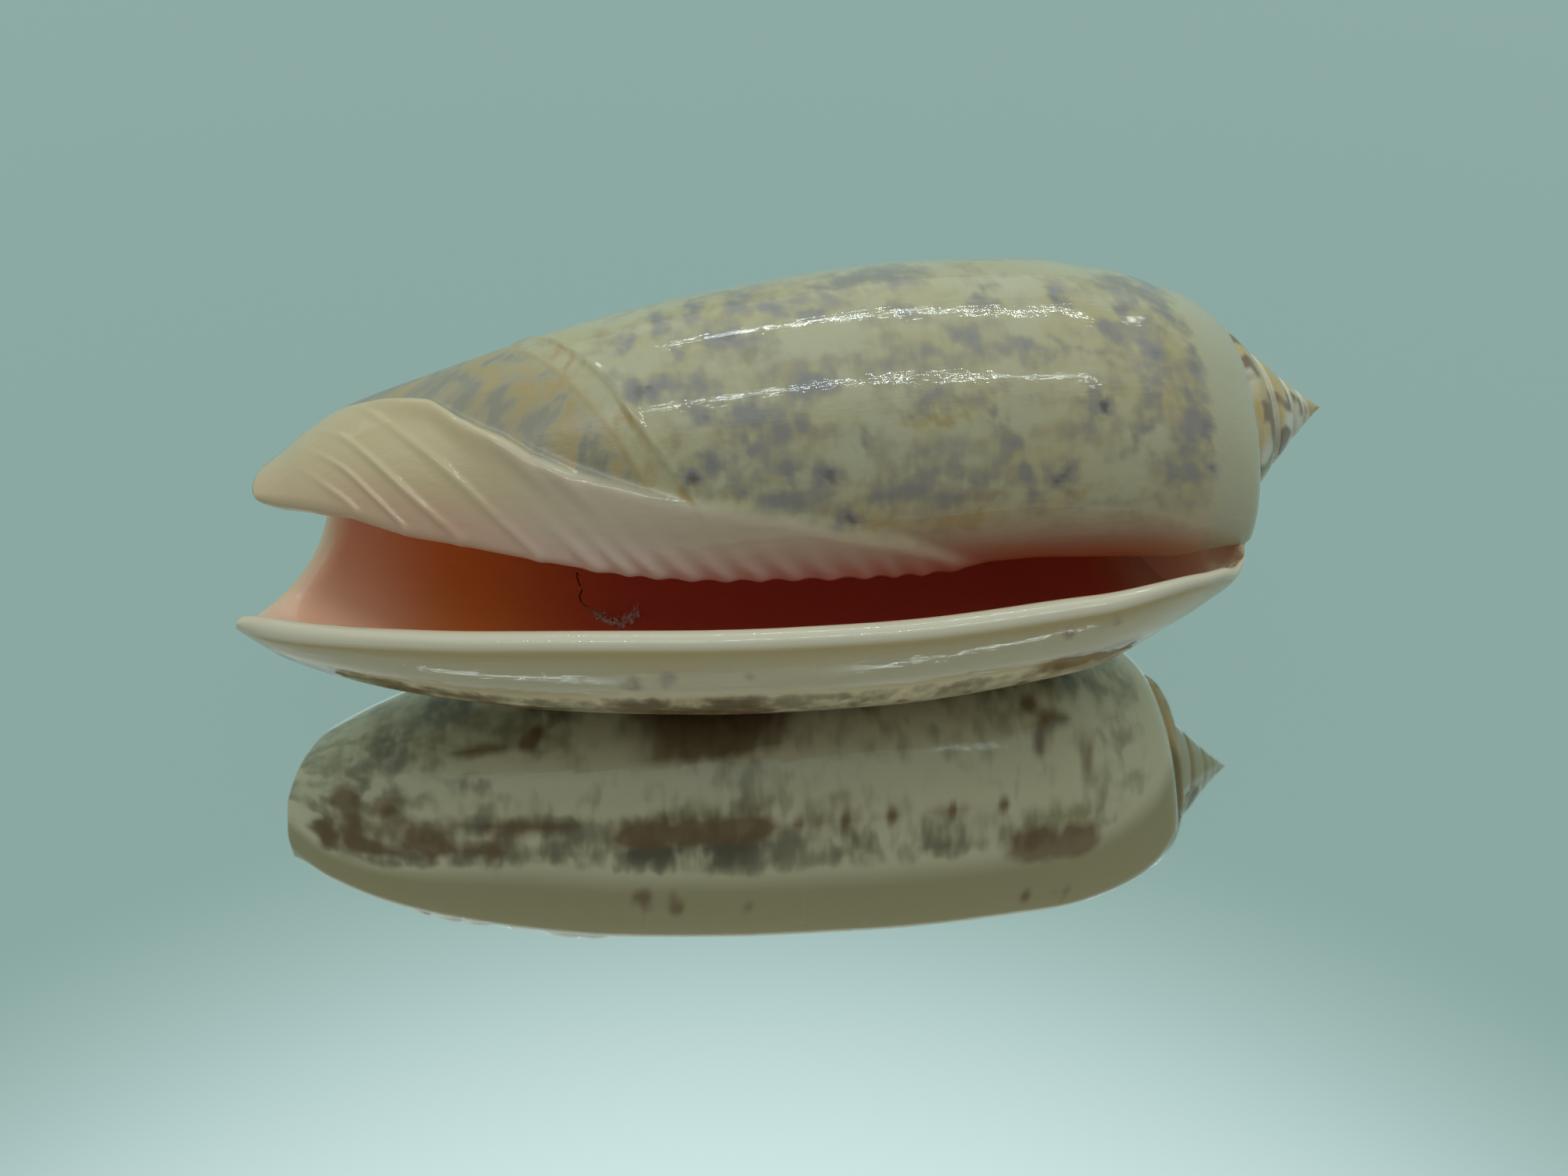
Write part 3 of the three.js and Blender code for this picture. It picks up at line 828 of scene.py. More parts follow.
    def coiled_floor(self, run: FloorRun, q: Array) -> Array:
        """Floor of the body whorl, which coils inward and leaves no overhang on the way.

        Args:
            run: the two ends of the floor.
            q: shares of the way between them.

        Returns:
            The points of the floor, in mm.
        """
        hollow = self.hollow
        first = run.angles[0] + FULL_TURN
        begun = np.maximum(q - hollow.coil_delay, 0) / (1 - hollow.coil_delay)
        angle = blend(first, run.angles[1], begun)
        radius = blend(*run.radii, smooth_step(*hollow.core_run, q))
        below = np.sin((angle - hollow.overhang_slope) * DEGREE)
        level = run.radii[0] * np.sin((first - hollow.overhang_slope) * DEGREE)
        level = level * (1 - hollow.overhang_margin * smooth_step(*hollow.overhang_run, q))
        limit = np.where(below < -hollow.least_below,
                         level / np.minimum(below, -hollow.least_below), FAR)
        limit = np.clip(limit, hollow.least_radius, FAR)
        sharpness = hollow.limit_sharpness
        radius = (radius ** -sharpness + limit ** -sharpness) ** (-1 / sharpness)
        return polar(blend(*run.stations, q), angle, radius)

    def floor(self, section: HollowSection, front: Patch, edge: dict[str, Array]) -> Patch:
        """Inner side of the columella, coiling back to the end of the hollow.

        Args:
            section: what every row knows about its hollow.
            front: the outside of the columella side, which the floor closes onto in front.
            edge: values of the rounded edge of the columella.

        Returns:
            The floor with its fields.
        """
        form, hollow, row = self.form, self.hollow, section.row
        run = self.floor_run(section, edge)
        q = np.linspace(0, 1, self.front_columns)[None]
        coiled = smooth_step(*hollow.coil_start, row) * section.open_share
        inside = blend(self.siphon_floor(section, edge, run, q), self.coiled_floor(run, q),
                       coiled[..., None])
        grown = rounded_rise(row / hollow.columella_end_rounding)
        points = blend(front.points[:, ::-1], inside, grown[..., None])
        step = np.linalg.norm(np.diff(points, axis=1), axis=-1)
        inward = np.concatenate([np.zeros_like(row), np.cumsum(step, 1)], 1)
        station = blend(*run.stations, q)
        turn = blend(section.edge_turn, section.cavity_turn, q)
        angle = blend(run.angles[0] + FULL_TURN, run.angles[1], q)
        radius = np.hypot(points[..., 1], points[..., 2])
        fields = self.fields(station, turn, angle, radius, 1.0)
        fields["fold"] = -inward - 2 * edge["rounding"]
        fields["fold_strength"] = edge["strength"] * hill(inward, 0, hollow.fold_fade)
        from_front = station - form.front_rim.smooth(turn)
        fields["rim"] = np.minimum(inward + hollow.rim_to_edge, from_front)
        fields["lip_side"] = np.full(points.shape[:2], FAR)
        return Patch(points, fields)

    def closing(self, section: HollowSection, floor: Patch, roof: Patch) -> Patch:
        """Rounded end wall between the floor and the roof of the hollow.

        Args:
            section: what every row knows about its hollow.
            floor: inner side of the columella.
            roof: inner side of the outer wall.

        Returns:
            The end wall, with the fields of the roof's end.
        """
        low, high = floor.points[:, -1:], roof.points[:, -1:]
        middle, reach = (low + high) / 2, (high - low) / 2
        turned = self.end_angle(section)[..., None] * DEGREE
        onward = np.concatenate([0 * turned, -np.sin(turned), -np.cos(turned)], -1)
        swing = np.pi * (inner_shares(self.end_columns) - 0.5)[None, :, None]
        depth = np.linalg.norm(reach, axis=-1, keepdims=True) * self.hollow.end_roundness
        points = middle + reach * np.sin(swing) + onward * depth * np.cos(swing)
        fields = {n: np.repeat(f[:, -1:], self.end_columns, 1) for n, f in roof.fields.items()}
        return Patch(points, fields)

    def laid(self, points: Array) -> tuple[Array, Array]:
        """Turns and moves the shell into the frame.

        Args:
            points: points of the whole surface in mm, around the shell's own axis.

        Returns:
            The points in the frame, and the place of the siphon end of the axis in it.
        """
        turned = self.form.raised(points)
        low, high = turned.reshape(-1, 3).min(0), turned.reshape(-1, 3).max(0)
        start = -np.array([(low[0] + high[0]) / 2, (low[1] + high[1]) / 2,
                           low[2] + self.form.rest_flat_depth])
        return turned + start, start

    def mesh(self, name: str) -> tuple[bpy.types.Mesh, Array]:
        """Builds the closed mesh with its attributes.

        Args:
            name: name of the mesh.

        Returns:
            The mesh, in metres, and the place of the axis' start in the frame, in mm.
        """
        grid = self.sections()
        apex = np.array([[self.form.length, 0.0, 0.0]])
        unlaid = np.concatenate([grid.points.reshape(-1, 3), apex])
        points, start = self.laid(unlaid)
        _, first, index = np.unique(
            np.round(points * MERGE_PER_MM).astype(np.int64), axis=0, return_index=True,
            return_inverse=True)
        faces = self.faces(index.reshape(-1), grid.points.shape[:2])
        mesh = bpy.data.meshes.new(name)
        mesh.from_pydata((points[first] * MM).tolist(), [], faces)
        mesh.polygons.foreach_set("use_smooth", np.ones(len(faces), bool))
        for field_name, values in grid.fields.items():
            flat = np.append(np.ascontiguousarray(values).reshape(-1), values[-1, 0])
            attribute = mesh.attributes.new(field_name, "FLOAT", "POINT")
            attribute.data.foreach_set("value", flat[first].astype(np.float32))
        attribute = mesh.attributes.new("outward", "FLOAT_VECTOR", "POINT")
        outward = self.outward(unlaid)[first].astype(np.float32)
        attribute.data.foreach_set("vector", outward.reshape(-1))
        mesh.update()
        return mesh, start

    def faces(self, index: Array, shape: tuple[int, int]) -> list[tuple[int, ...]]:
        """Faces between the rows, and a fan that closes the last row at the apex.

        Args:
            index: vertex of every point of the grid and, at the end, of the apex.
            shape: rows and columns of the grid.

        Returns:
            The vertices of each face.
        """
        rings = index[:-1].reshape(shape)
        here, following = rings[:-1], rings[1:]
        quads = np.stack([here, np.roll(here, -1, 1), np.roll(following, -1, 1), following], -1)
        faces = [tidy for tidy in map(self.without_repeats, quads.reshape(-1, 4)) if tidy]
        fan = zip(rings[-1], np.roll(rings[-1], -1))
        return faces + [(int(a), int(b), int(index[-1])) for a, b in fan if a != b]

    @staticmethod
    def outward(points: Array) -> Array:
        """Unit vectors away from the shell's axis, before it is laid."""
        away = points * np.array([0.0, 1.0, 1.0])
        return away / np.maximum(np.linalg.norm(away, axis=-1, keepdims=True), 1e-6)

    @staticmethod
    def without_repeats(face: Array) -> tuple[int, ...]:
        """A face without doubled corners, or an empty one if it has collapsed."""
        kept = tuple(dict.fromkeys(int(corner) for corner in face))
        return kept if len(kept) > 2 else ()


class Sheet:
    """A node tree being drawn, with short calls for the nodes that the finishes use."""

    def __init__(self, tree: Tree) -> None:
        """Draws on tree."""
        self.tree = tree

    def add(self, kind: str, inputs: dict[Any, Any] | None = None, **settings: Any) -> Node:
        """Adds one node.

        Args:
            kind: the node's Blender type.
            inputs: socket name or index, and the value or the output that feeds it.
            settings: properties of the node.

        Returns:
            The new node.
        """
        node = self.tree.nodes.new(kind)
        for name, value in settings.items():
            setattr(node, name, value)
        for key, value in (inputs or {}).items():
            if isinstance(value, Socket):
                self.tree.links.new(value, node.inputs[key])
            else:
                node.inputs[key].default_value = value
        return node

    def math(self, operation: str, a: Any, b: Any = 0.0, c: Any = 0.0) -> Socket:
        """One step of arithmetic."""
        return self.add("ShaderNodeMath", {0: a, 1: b, 2: c}, operation=operation).outputs[0]

    def times(self, first: Any, *others: Any) -> Socket:
        """Product of several values."""
        for other in others:
            first = self.math("MULTIPLY", first, other)
        return first

    def plus(self, first: Any, *others: Any) -> Socket:
        """Sum of several values."""
        for other in others:
            first = self.math("ADD", first, other)
        return first

    def most(self, first: Any, *others: Any) -> Socket:
        """Largest of several values."""
        for other in others:
            first = self.math("MAXIMUM", first, other)
        return first

    def rise(self, value: Any, low: float, high: float, start: float = 0.0,
             end: float = 1.0) -> Socket:
        """Smooth change of one value with another.

        Args:
            value: the value that is followed.
            low: where in it the change starts.
            high: where it is complete, which may lie below low.
            start: result before the change.
            end: result after it.

        Returns:
            The changing value.
        """
        if low > high:
            low, high, start, end = high, low, end, start
        inputs = {"Value": value, "From Min": low, "From Max": high, "To Min": start, "To Max": end}
        node = self.add("ShaderNodeMapRange", inputs, interpolation_type="SMOOTHSTEP")
        return node.outputs["Result"]

    def bump_at(self, value: Any, centre: float, reach: float) -> Socket:
        """Smooth hill of height 1 at centre, down to 0 at reach on either side."""
        away = self.math("ABSOLUTE", self.math("SUBTRACT", value, centre))
        return self.rise(away, reach, 0.0)

    def vector(self, x: Any, y: Any, z: Any) -> Socket:
        """Vector of three values."""
        return self.add("ShaderNodeCombineXYZ", {"X": x, "Y": y, "Z": z}).outputs["Vector"]

    def noise(self, vector: Any, detail: float = 2.0, distortion: float = 0.0) -> Socket:
        """Soft noise.

        Args:
            vector: place in the noise, with one lump for each unit.
            detail: how many finer layers it has.
            distortion: how much its lumps are bent.

        Returns:
            Values from 0 to 1.
        """
        inputs = {"Vector": vector, "Scale": 1.0, "Detail": detail, "Distortion": distortion}
        node = self.add("ShaderNodeTexNoise", inputs, noise_dimensions="3D")
        return node.outputs[0]

    def mix(self, share: Any, a: Any, b: Any) -> Socket:
        """Mixes two colours, each an output or linear red, green and blue.

        Args:
            share: 0 for all of a and 1 for all of b.
            a: the colour below.
            b: the colour over it.

        Returns:
            The mixed colour.
        """
        node = self.add("ShaderNodeMix", data_type="RGBA", clamp_factor=True)
        for key, value in ((0, share), (6, a), (7, b)):
            if isinstance(value, Socket):
                self.tree.links.new(value, node.inputs[key])
            else:
                node.inputs[key].default_value = value if key == 0 else (*value, 1.0)
        return node.outputs[2]

    def attribute(self, name: str) -> Socket:
        """Value of a vertex attribute."""
        return self.add("ShaderNodeAttribute", attribute_name=name).outputs["Fac"]

    def group(self, tree: Tree, inputs: dict[str, Any]) -> Any:
        """Places a node group, feeds it and returns its outputs."""
        return self.add("ShaderNodeGroup", inputs, node_tree=tree).outputs


class SocketKind(Enum):
    """Kinds of the inputs and outputs of a node group."""

    VALUE = "NodeSocketFloat"
    COUNT = "NodeSocketInt"
    MATERIAL = "NodeSocketMaterial"
    GEOMETRY = "NodeSocketGeometry"


Sockets = dict[SocketKind, tuple[str, ...]]


def node_group(name: str, kind: str, inputs: Sockets,
               outputs: Sockets) -> tuple[Sheet, Node, Node]:
    """Makes an empty node group.

    Args:
        name: name of the group.
        kind: Blender type of its tree.
        inputs: names of its inputs, by kind.
        outputs: names of its outputs, by kind.

    Returns:
        The sheet to draw on, its input node and its output node.
    """
    tree = bpy.data.node_groups.new(name, kind)
    for way, sockets in (("INPUT", inputs), ("OUTPUT", outputs)):
        for socket_kind, names in sockets.items():
            for socket_name in names:
                tree.interface.new_socket(
                    socket_name, in_out=way, socket_type=socket_kind.value)
    sheet = Sheet(tree)
    return sheet, sheet.add("NodeGroupInput"), sheet.add("NodeGroupOutput")


def effect_group(name: str, inputs: tuple[str, ...],
                 outputs: tuple[str, ...]) -> tuple[Sheet, Node, Node]:
    """An empty shader group whose inputs and outputs are all values."""
    return node_group(
        name, "ShaderNodeTree", {SocketKind.VALUE: inputs}, {SocketKind.VALUE: outputs})


def feed(node: Node, values: dict[str, Socket]) -> Tree:
    """Links values to the named inputs of node and returns its tree."""
    for name, value in values.items():
        node.id_data.links.new(value, node.inputs[name])
    return node.id_data


def growth_pattern() -> Tree:
    """Group: streaks and clouds that follow the growth of the shell."""
    contrast, distortion = (0.25, 0.75), 0.15
    sheet, given, result = effect_group(
        "Growth pattern", ("Along", "Growth", "Length", "Width", "Seed"), ("Pattern",))
    along = sheet.math("DIVIDE", given.outputs["Along"], given.outputs["Length"])
    around = sheet.math("DIVIDE", given.outputs["Growth"], given.outputs["Width"])
    vector = sheet.vector(along, around, given.outputs["Seed"])
    noise = sheet.noise(vector, detail=1.0, distortion=distortion)
    return feed(result, {"Pattern": sheet.rise(noise, *contrast)})


@dataclass(frozen=True)
class Layer:
    """One layer of the growth pattern.

    Its lumps have a length along the shell and a width around it, in mm, and its share is how
    much of the whole it makes up.
    """

    length: float
    width: float
    seed: float
    share: float = 1.0

    def draw(self, sheet: Sheet, pattern: Tree,
             given: Node) -> Socket:
        """Draws the layer, before its share, from the Along and Growth that are given."""
        inputs = {"Along": given.outputs["Along"], "Growth": given.outputs["Growth"],
                  "Length": self.length, "Width": self.width, "Seed": self.seed}
        return sheet.group(pattern, inputs)["Pattern"]


@dataclass(frozen=True)
class Mottling:
    """Blue-grey blotches with ochre edges, from the marks and the growth pattern."""

    streaks: Layer = Layer(0.42, 1.5, 3.0, 0.10)
    fine: Layer = Layer(0.2, 0.5, 11.0, 0.04)
    lumps: Layer = Layer(0.8, 1.1, 23.0, 0.25)
    clouds: Layer = Layer(2.6, 2.2, 7.0, 0.34)
    halo: Layer = Layer(1.3, 1.2, 19.0, 0.26)
    warmth: Layer = Layer(4.5, 5.0, 31.0)
    mark_streaks: float = 0.24
    mark_fine: float = 0.08
    mark_lumps: float = 0.42
    mark_solid: float = 0.42
    mark_share: float = 0.62
    grey_from: Span = (0.28, 1.0)
    halo_from: Span = (0.36, 0.84)
    halo_strength: float = 0.55
    ochre_from: Span = (0.15, 0.95)

    def group(self, pattern: Tree) -> Tree:
        """Builds the node group.

        Args:
            pattern: the growth pattern's group.

        Returns:
            The group, with the masks Grey and Ochre, and Warmth for the ground colour.
        """
        sheet, given, result = effect_group(
            "Mottling", ("Along", "Growth", "Grey Marks", "Ochre Marks", "Zone"),
            ("Grey", "Ochre", "Warmth"))
        streaks, fine, clouds, lumps, halo, warmth = (
            layer.draw(sheet, pattern, given)
            for layer in (self.streaks, self.fine, self.clouds, self.lumps, self.halo, self.warmth))
        broken = sheet.plus(
            sheet.times(streaks, self.mark_streaks), sheet.times(fine, self.mark_fine),
            sheet.times(lumps, self.mark_lumps), self.mark_solid)
        marks = sheet.times(given.outputs["Grey Marks"], broken)
        field = sheet.plus(
            sheet.times(streaks, self.streaks.share), sheet.times(fine, self.fine.share),
            sheet.times(lumps, self.lumps.share), sheet.times(clouds, self.clouds.share),
            sheet.times(marks, self.mark_share), given.outputs["Zone"])
        around_grey = sheet.plus(field, sheet.times(halo, self.halo.share))
        edges = sheet.times(sheet.rise(around_grey, *self.halo_from), self.halo_strength)
        ochre_marks = sheet.times(given.outputs["Ochre Marks"], broken)
        ochre = sheet.most(edges, sheet.rise(ochre_marks, *self.ochre_from))
        return feed(result, {
            "Grey": sheet.rise(field, *self.grey_from), "Ochre": ochre, "Warmth": warmth})


@dataclass(frozen=True)
class BandStreaks:
    """Streaks across the siphonal band, between its edge and the callus, lengths in mm."""

    down_band: Span = (0.87, 0.49)
    coarse_rates: Span = (0.8, 0.32)
    coarse_seed: float = 4.0
    coarse_distortion: float = 0.6
    coarse_share: float = 0.68
    fine_rates: Span = (2.4, 0.8)
    fine_seed: float = 9.0
    past_edge: Span = (-0.05, 0.1)
    before_callus: Span = (0.25, -0.1)
    band_end: Span = (20.0, 18.8)
    upper_part: Span = (3.0, 6.0)
    upper_share: float = 0.06
    grey_from: Span = (0.38, 0.66)
    grey_inside: Span = (1.8, 3.0)
    ochre_from: Span = (0.60, 0.36)
    line_at: float = 2.2
    line_reach: float = 0.6
    line_strength: float = 0.8

    def group(self) -> Tree:
        """Builds the node group, with the masks Mask, Grey and Ochre."""
        sheet, given, result = effect_group(
            "Band streaks", ("Along", "Growth", "Band", "Callus"), ("Mask", "Grey", "Ochre"))
        band, callus = given.outputs["Band"], given.outputs["Callus"]
        down = sheet.plus(sheet.times(given.outputs["Along"], self.down_band[0]),
                          sheet.times(given.outputs["Growth"], self.down_band[1]))
        coarse_place, fine_place = (
            sheet.vector(sheet.times(down, rates[0]), sheet.times(band, rates[1]), seed)
            for rates, seed in ((self.coarse_rates, self.coarse_seed),
                                (self.fine_rates, self.fine_seed)))
        coarse = sheet.noise(coarse_place, 1.0, distortion=self.coarse_distortion)
        fine = sheet.noise(fine_place, 2.0)
        both = sheet.plus(sheet.times(coarse, self.coarse_share),
                          sheet.times(fine, 1 - self.coarse_share))
        mask = sheet.times(
            sheet.rise(band, *self.past_edge), sheet.rise(callus, *self.before_callus),
            sheet.rise(given.outputs["Along"], *self.band_end))
        upper = sheet.rise(band, *self.upper_part, 0.0, self.upper_share)
        grey = sheet.times(sheet.rise(sheet.plus(both, upper), *self.grey_from),
                           sheet.rise(band, *self.grey_inside))
        line = sheet.times(sheet.bump_at(band, self.line_at, self.line_reach), self.line_strength)
        ochre = sheet.most(line, sheet.rise(both, *self.ochre_from))
        return feed(result, {"Mask": mask, "Grey": grey, "Ochre": ochre})


@dataclass(frozen=True)
class GrowthRelief:
    """Height of the fine growth lines and dimples under the glaze."""

    layers: tuple[Layer, ...] = (
        Layer(9.0, 0.16, 2.0, 0.12), Layer(1.3, 0.9, 5.0, 0.5), Layer(0.4, 0.35, 8.0, 0.3),
        Layer(0.1, 0.1, 12.0, 0.05))

    def group(self, pattern: Tree) -> Tree:
        """Builds the node group from the growth pattern's group."""
        sheet, given, result = effect_group("Growth relief", ("Along", "Growth"), ("Height",))
        parts = [sheet.times(layer.draw(sheet, pattern, given), layer.share)
                 for layer in self.layers]
        return feed(result, {"Height": sheet.plus(*parts)})


@dataclass(frozen=True)
class Zone:
    """A part of the shell: a field of its surface, and where in it the part starts and is full."""

    field: str
    start: float
    full: float
    least: float = 0.0
    most: float = 1.0

    def mask(self, sheet: Sheet, at: Masks) -> Socket:
        """Mask that rises from least at the start to most where the part is full."""
        return sheet.rise(at[self.field], self.start, self.full, self.least, self.most)


@dataclass(frozen=True)
class Belt(Zone):
    """A part of the shell around a place: start is its middle, and full is its reach."""

    def mask(self, sheet: Sheet, at: Masks) -> Socket:
        """Mask that is 1 in the middle and 0 at the reach on either side."""
        return sheet.bump_at(at[self.field], self.start, self.full)


@dataclass(frozen=True)
class Surface:
    """The sheet that a finish is drawn on, and the fields of the shell's surface on it."""

    sheet: Sheet
    at: Masks

    def within(self, *zones: Zone) -> Socket:
        """Mask of the part that lies in all the zones."""
        return self.sheet.times(*(zone.mask(self.sheet, self.at) for zone in zones))

    def over(self, colour: Any, top: Any, *zones: Zone) -> Socket:
        """Colour with another one over it in the zones."""
        return self.sheet.mix(self.within(*zones), colour, top)


def new_material(name: str) -> tuple[bpy.types.Material, Sheet]:
    """An empty material and the sheet to draw it on."""
    made = bpy.data.materials.new(name)
    made.use_nodes = True
    made.node_tree.nodes.clear()
    return made, Sheet(made.node_tree)


@dataclass(frozen=True)
class ShellColours:
    """Colours of the shell, linear."""

    cream: Colour = (0.55, 0.50, 0.335)
    warm_cream: Colour = (0.54, 0.445, 0.245)
    grey: Colour = (0.275, 0.25, 0.25)
    deep_grey: Colour = (0.13, 0.115, 0.10)
    ochre: Colour = (0.45, 0.335, 0.15)
    brown: Colour = (0.20, 0.10, 0.04)
    shoulder: Colour = (0.52, 0.48, 0.33)
    lip: Colour = (0.58, 0.43, 0.215)
    edge: Colour = (0.73, 0.63, 0.47)
    band: Colour = (0.52, 0.44, 0.26)
    band_ochre: Colour = (0.44, 0.29, 0.11)
    band_grey: Colour = (0.26, 0.22, 0.17)
    callus: Colour = (0.63, 0.49, 0.345)
    fasciole: Colour = (0.66, 0.50, 0.29)
    # Pink of the folded edge: partly the callus's own tint, partly painted reflection of the red
    # hollow.
    pink_and_painted_reflection: Colour = (0.84, 0.62, 0.53)
    # Rose at the front of the folded edge is painted shade.
    rose_painted_shade: Colour = (0.72, 0.42, 0.29)
    # Salmon and orange are the hollow's own colours, lightened as painted light for the glow through
    # the thin siphon wall.
    salmon_and_painted_light: Colour = (1.0, 0.59, 0.40)
    orange_and_painted_light: Colour = (1.0, 0.40, 0.11)
    red: Colour = (0.80, 0.20, 0.125)
    rear: Colour = (0.78, 0.36, 0.17)
    # Pale tan of the hollow's rear end, brightened as painted light over the shaded pocket.
    rear_pale_painted_light: Colour = (1.0, 0.84, 0.60)
    siphon_rim: Colour = (0.80, 0.56, 0.36)
    edge_brown: Colour = (0.60, 0.34, 0.20)
    spire_cream: Colour = (0.72, 0.68, 0.54)
    spire_ochre: Colour = (0.58, 0.40, 0.16)
    spire_brown: Colour = (0.20, 0.11, 0.06)
    # Cream of the underside, lighter than the cream on top as painted light for its shade.
    under_cream_and_painted_light: Colour = (1.0, 0.77, 0.50)
    under_grey: Colour = (0.24, 0.165, 0.095)
    under_brown: Colour = (0.22, 0.085, 0.012)
    under_dark: Colour = (0.15, 0.10, 0.045)


@dataclass(frozen=True)
class ShellGlaze:
    """The porcelain-like finish of the whole shell, outside and in."""

    colours: ShellColours = ShellColours()
    roughness: float = 0.06
    dull_roughness: float = 0.22
    bump_height: float = 0.011
    lip_belt: Zone = Zone("along", 1, 12, 0.45, 1)
    worn: tuple[Zone, ...] = (
        Zone("lip_side", 4.2, 2.4), Zone("lip_side", 0.3, 0.9), Zone("along", 13.0, 15.5),
        Zone("along", 25.0, 21.5))
    dull_band: tuple[Zone, ...] = (Zone("band", 0.3, 0.8), Zone("callus", 0.2, -0.2))
    underside: Zone = Zone("growth", 27.0, 19.0)
    # Where the mottling is denser or sparser than elsewhere, and by how much: at the shoulder,
    # beside the lip, past the shoulder, low on the front, in the middle, underneath and on the
    # whole underside.
    density: tuple[tuple[Zone, float], ...] = (
        (Belt("along", 36.6, 2.4), 0.11),
        (Zone("beside_lip", 3.8, 2.5), -0.7),
        (Zone("along", 38.0, 38.8), -0.6),
        (Belt("angle", 22.0, 16.0), 0.07),
        (Belt("along", 21.0, 3.5), 0.09),
        (Zone("angle", -60.0, -74.0), 0.16),
        (Zone("growth", 27.0, 19.0), -0.08),
    )
    ochre_share: float = 0.85
    grey_share: float = 0.82
    brown_share: float = 0.85
    dark_marks: Zone = Zone("grey_marks", 0.8, 1.6)
    brown_marks: Zone = Zone("brown_marks", 0.15, 0.9)
    shoulder: Zone = Zone("uneven_along", 38.0, 39.2)
    shoulder_wander: float = 0.5
    spire_start: Zone = Zone("along", 40.2, 40.6)
    ochre_flames: Colour = (300.0, 450.0, 450.0)
    ochre_flames_from: Span = (0.35, 0.62)
    brown_flames: Colour = (450.0, 800.0, 800.0)
    brown_flames_from: Span = (0.50, 0.62)
    brown_flames_share: float = 0.9
    sutures: Zone = Zone("suture", 0.45, 0.9)
    suture_share: float = 0.8
    band_ochre_share: float = 0.8
    band_grey_share: float = 0.85
    fasciole: Zone = Zone("along", 15.0, 9.0)
    fold_edge: tuple[Zone, ...] = (Zone("fold", 2.4, 0.1), Zone("along", 4.0, 9.0, 0.3, 0.9))
    pink_edge: Zone = Zone("along", 9.0, 16.0)
    brown_edge: Zone = Zone("along", 24.0, 30.0)
    on_callus: Zone = Zone("callus", -0.1, 0.5)
    rear_of_callus: tuple[Zone, ...] = (Zone("fold", 4.0, 0.5), Zone("along", 20.0, 28.0))
    callus_end: Zone = Zone("along", 38.6, 37.2)
    beside_lip: Zone = Zone("beside_lip", 3.8, 2.4)
    lip_brown_share: float = 0.75
    lip_edge: Zone = Zone("lip_side", 0.45, 0.2)
    orange_hollow: Zone = Zone("along", 4.5, 9.0)
    red_hollow: Zone = Zone("along", 9.0, 16.0)
    rear_hollow: Zone = Zone("along", 35.4, 37.0)
    rear_painted_light_hollow: Zone = Zone("along", 36.4, 38.2)
    behind_rim: Zone = Zone("rim", 0.1, 1.2)
    inside: Zone = Zone("inside", 0.45, 1.0)

    def material(self) -> bpy.types.Material:
        """Builds the material."""
        made, sheet = new_material("olive_shell_glaze")
        pattern = growth_pattern()
        names = ("along", "growth", "angle", "callus", "band", "fold", "rim", "lip_side", "suture",
                 "inside", *(p.value for p in Pigment))
        at = {name: sheet.attribute(name) for name in names}
        at["beside_lip"] = sheet.math("DIVIDE", at["lip_side"], self.lip_belt.mask(sheet, at))
        on = Surface(sheet, at)
        colour = self.body(on, pattern)
        for dress in (self.spire, self.band, self.callus, self.lip, self.hollow):
            colour = dress(on, colour)
        dull = sheet.most(on.within(*self.worn), on.within(*self.dull_band))
        roughness = sheet.plus(sheet.times(dull, self.dull_roughness), self.roughness)
        relief = sheet.group(
            GrowthRelief().group(pattern), {"Along": at["along"], "Growth": at["growth"]})
        bump = sheet.add("ShaderNodeBump", {
            "Strength": 1.0, "Distance": self.bump_height * MM, "Height": relief["Height"]})
        shader = sheet.add("ShaderNodeBsdfPrincipled", {
            "Base Color": colour, "Roughness": roughness, "Normal": bump.outputs["Normal"],
            "Specular IOR Level": 0.5})
        sheet.add("ShaderNodeOutputMaterial", {"Surface": shader.outputs["BSDF"]})
        return made

    def body(self, on: Surface, pattern: Tree) -> Socket:
        """Mottled cream of the last whorl, lighter underneath as painted light.

        Args:
            on: the sheet and the fields of the surface.
            pattern: the growth pattern's group.

        Returns:
            The colour.
        """
        sheet, at, c = on.sheet, on.at, self.colours
        under = on.within(self.underside)
        zone = sheet.plus(*(sheet.times(on.within(part), share) for part, share in self.density))
        made = sheet.group(Mottling().group(pattern), {
            "Along": at["along"], "Growth": at["growth"], "Grey Marks": at["grey_marks"],
            "Ochre Marks": at["ochre_marks"], "Zone": zone})
        colour = sheet.mix(made["Warmth"], c.cream, c.warm_cream)
        # Painted light: the underside takes a lighter cream than the top.
        colour = sheet.mix(under, colour, c.under_cream_and_painted_light)
        colour = sheet.mix(sheet.times(made["Ochre"], self.ochre_share), colour, c.ochre)
        grey = sheet.mix(under, c.grey, c.under_grey)
        colour = sheet.mix(sheet.times(made["Grey"], self.grey_share), colour, grey)
        dark = sheet.mix(under, c.deep_grey, c.under_dark)
        colour = sheet.mix(sheet.times(on.within(self.dark_marks), made["Grey"]), colour, dark)
        brown = sheet.times(on.within(self.brown_marks), self.brown_share)
        colour = sheet.mix(brown, colour, sheet.mix(under, c.brown, c.under_brown))
        at["uneven_along"] = sheet.plus(
            at["along"], sheet.times(made["Warmth"], self.shoulder_wander))
        return on.over(colour, sheet.mix(under, c.shoulder, c.under_cream_and_painted_light), self.shoulder)

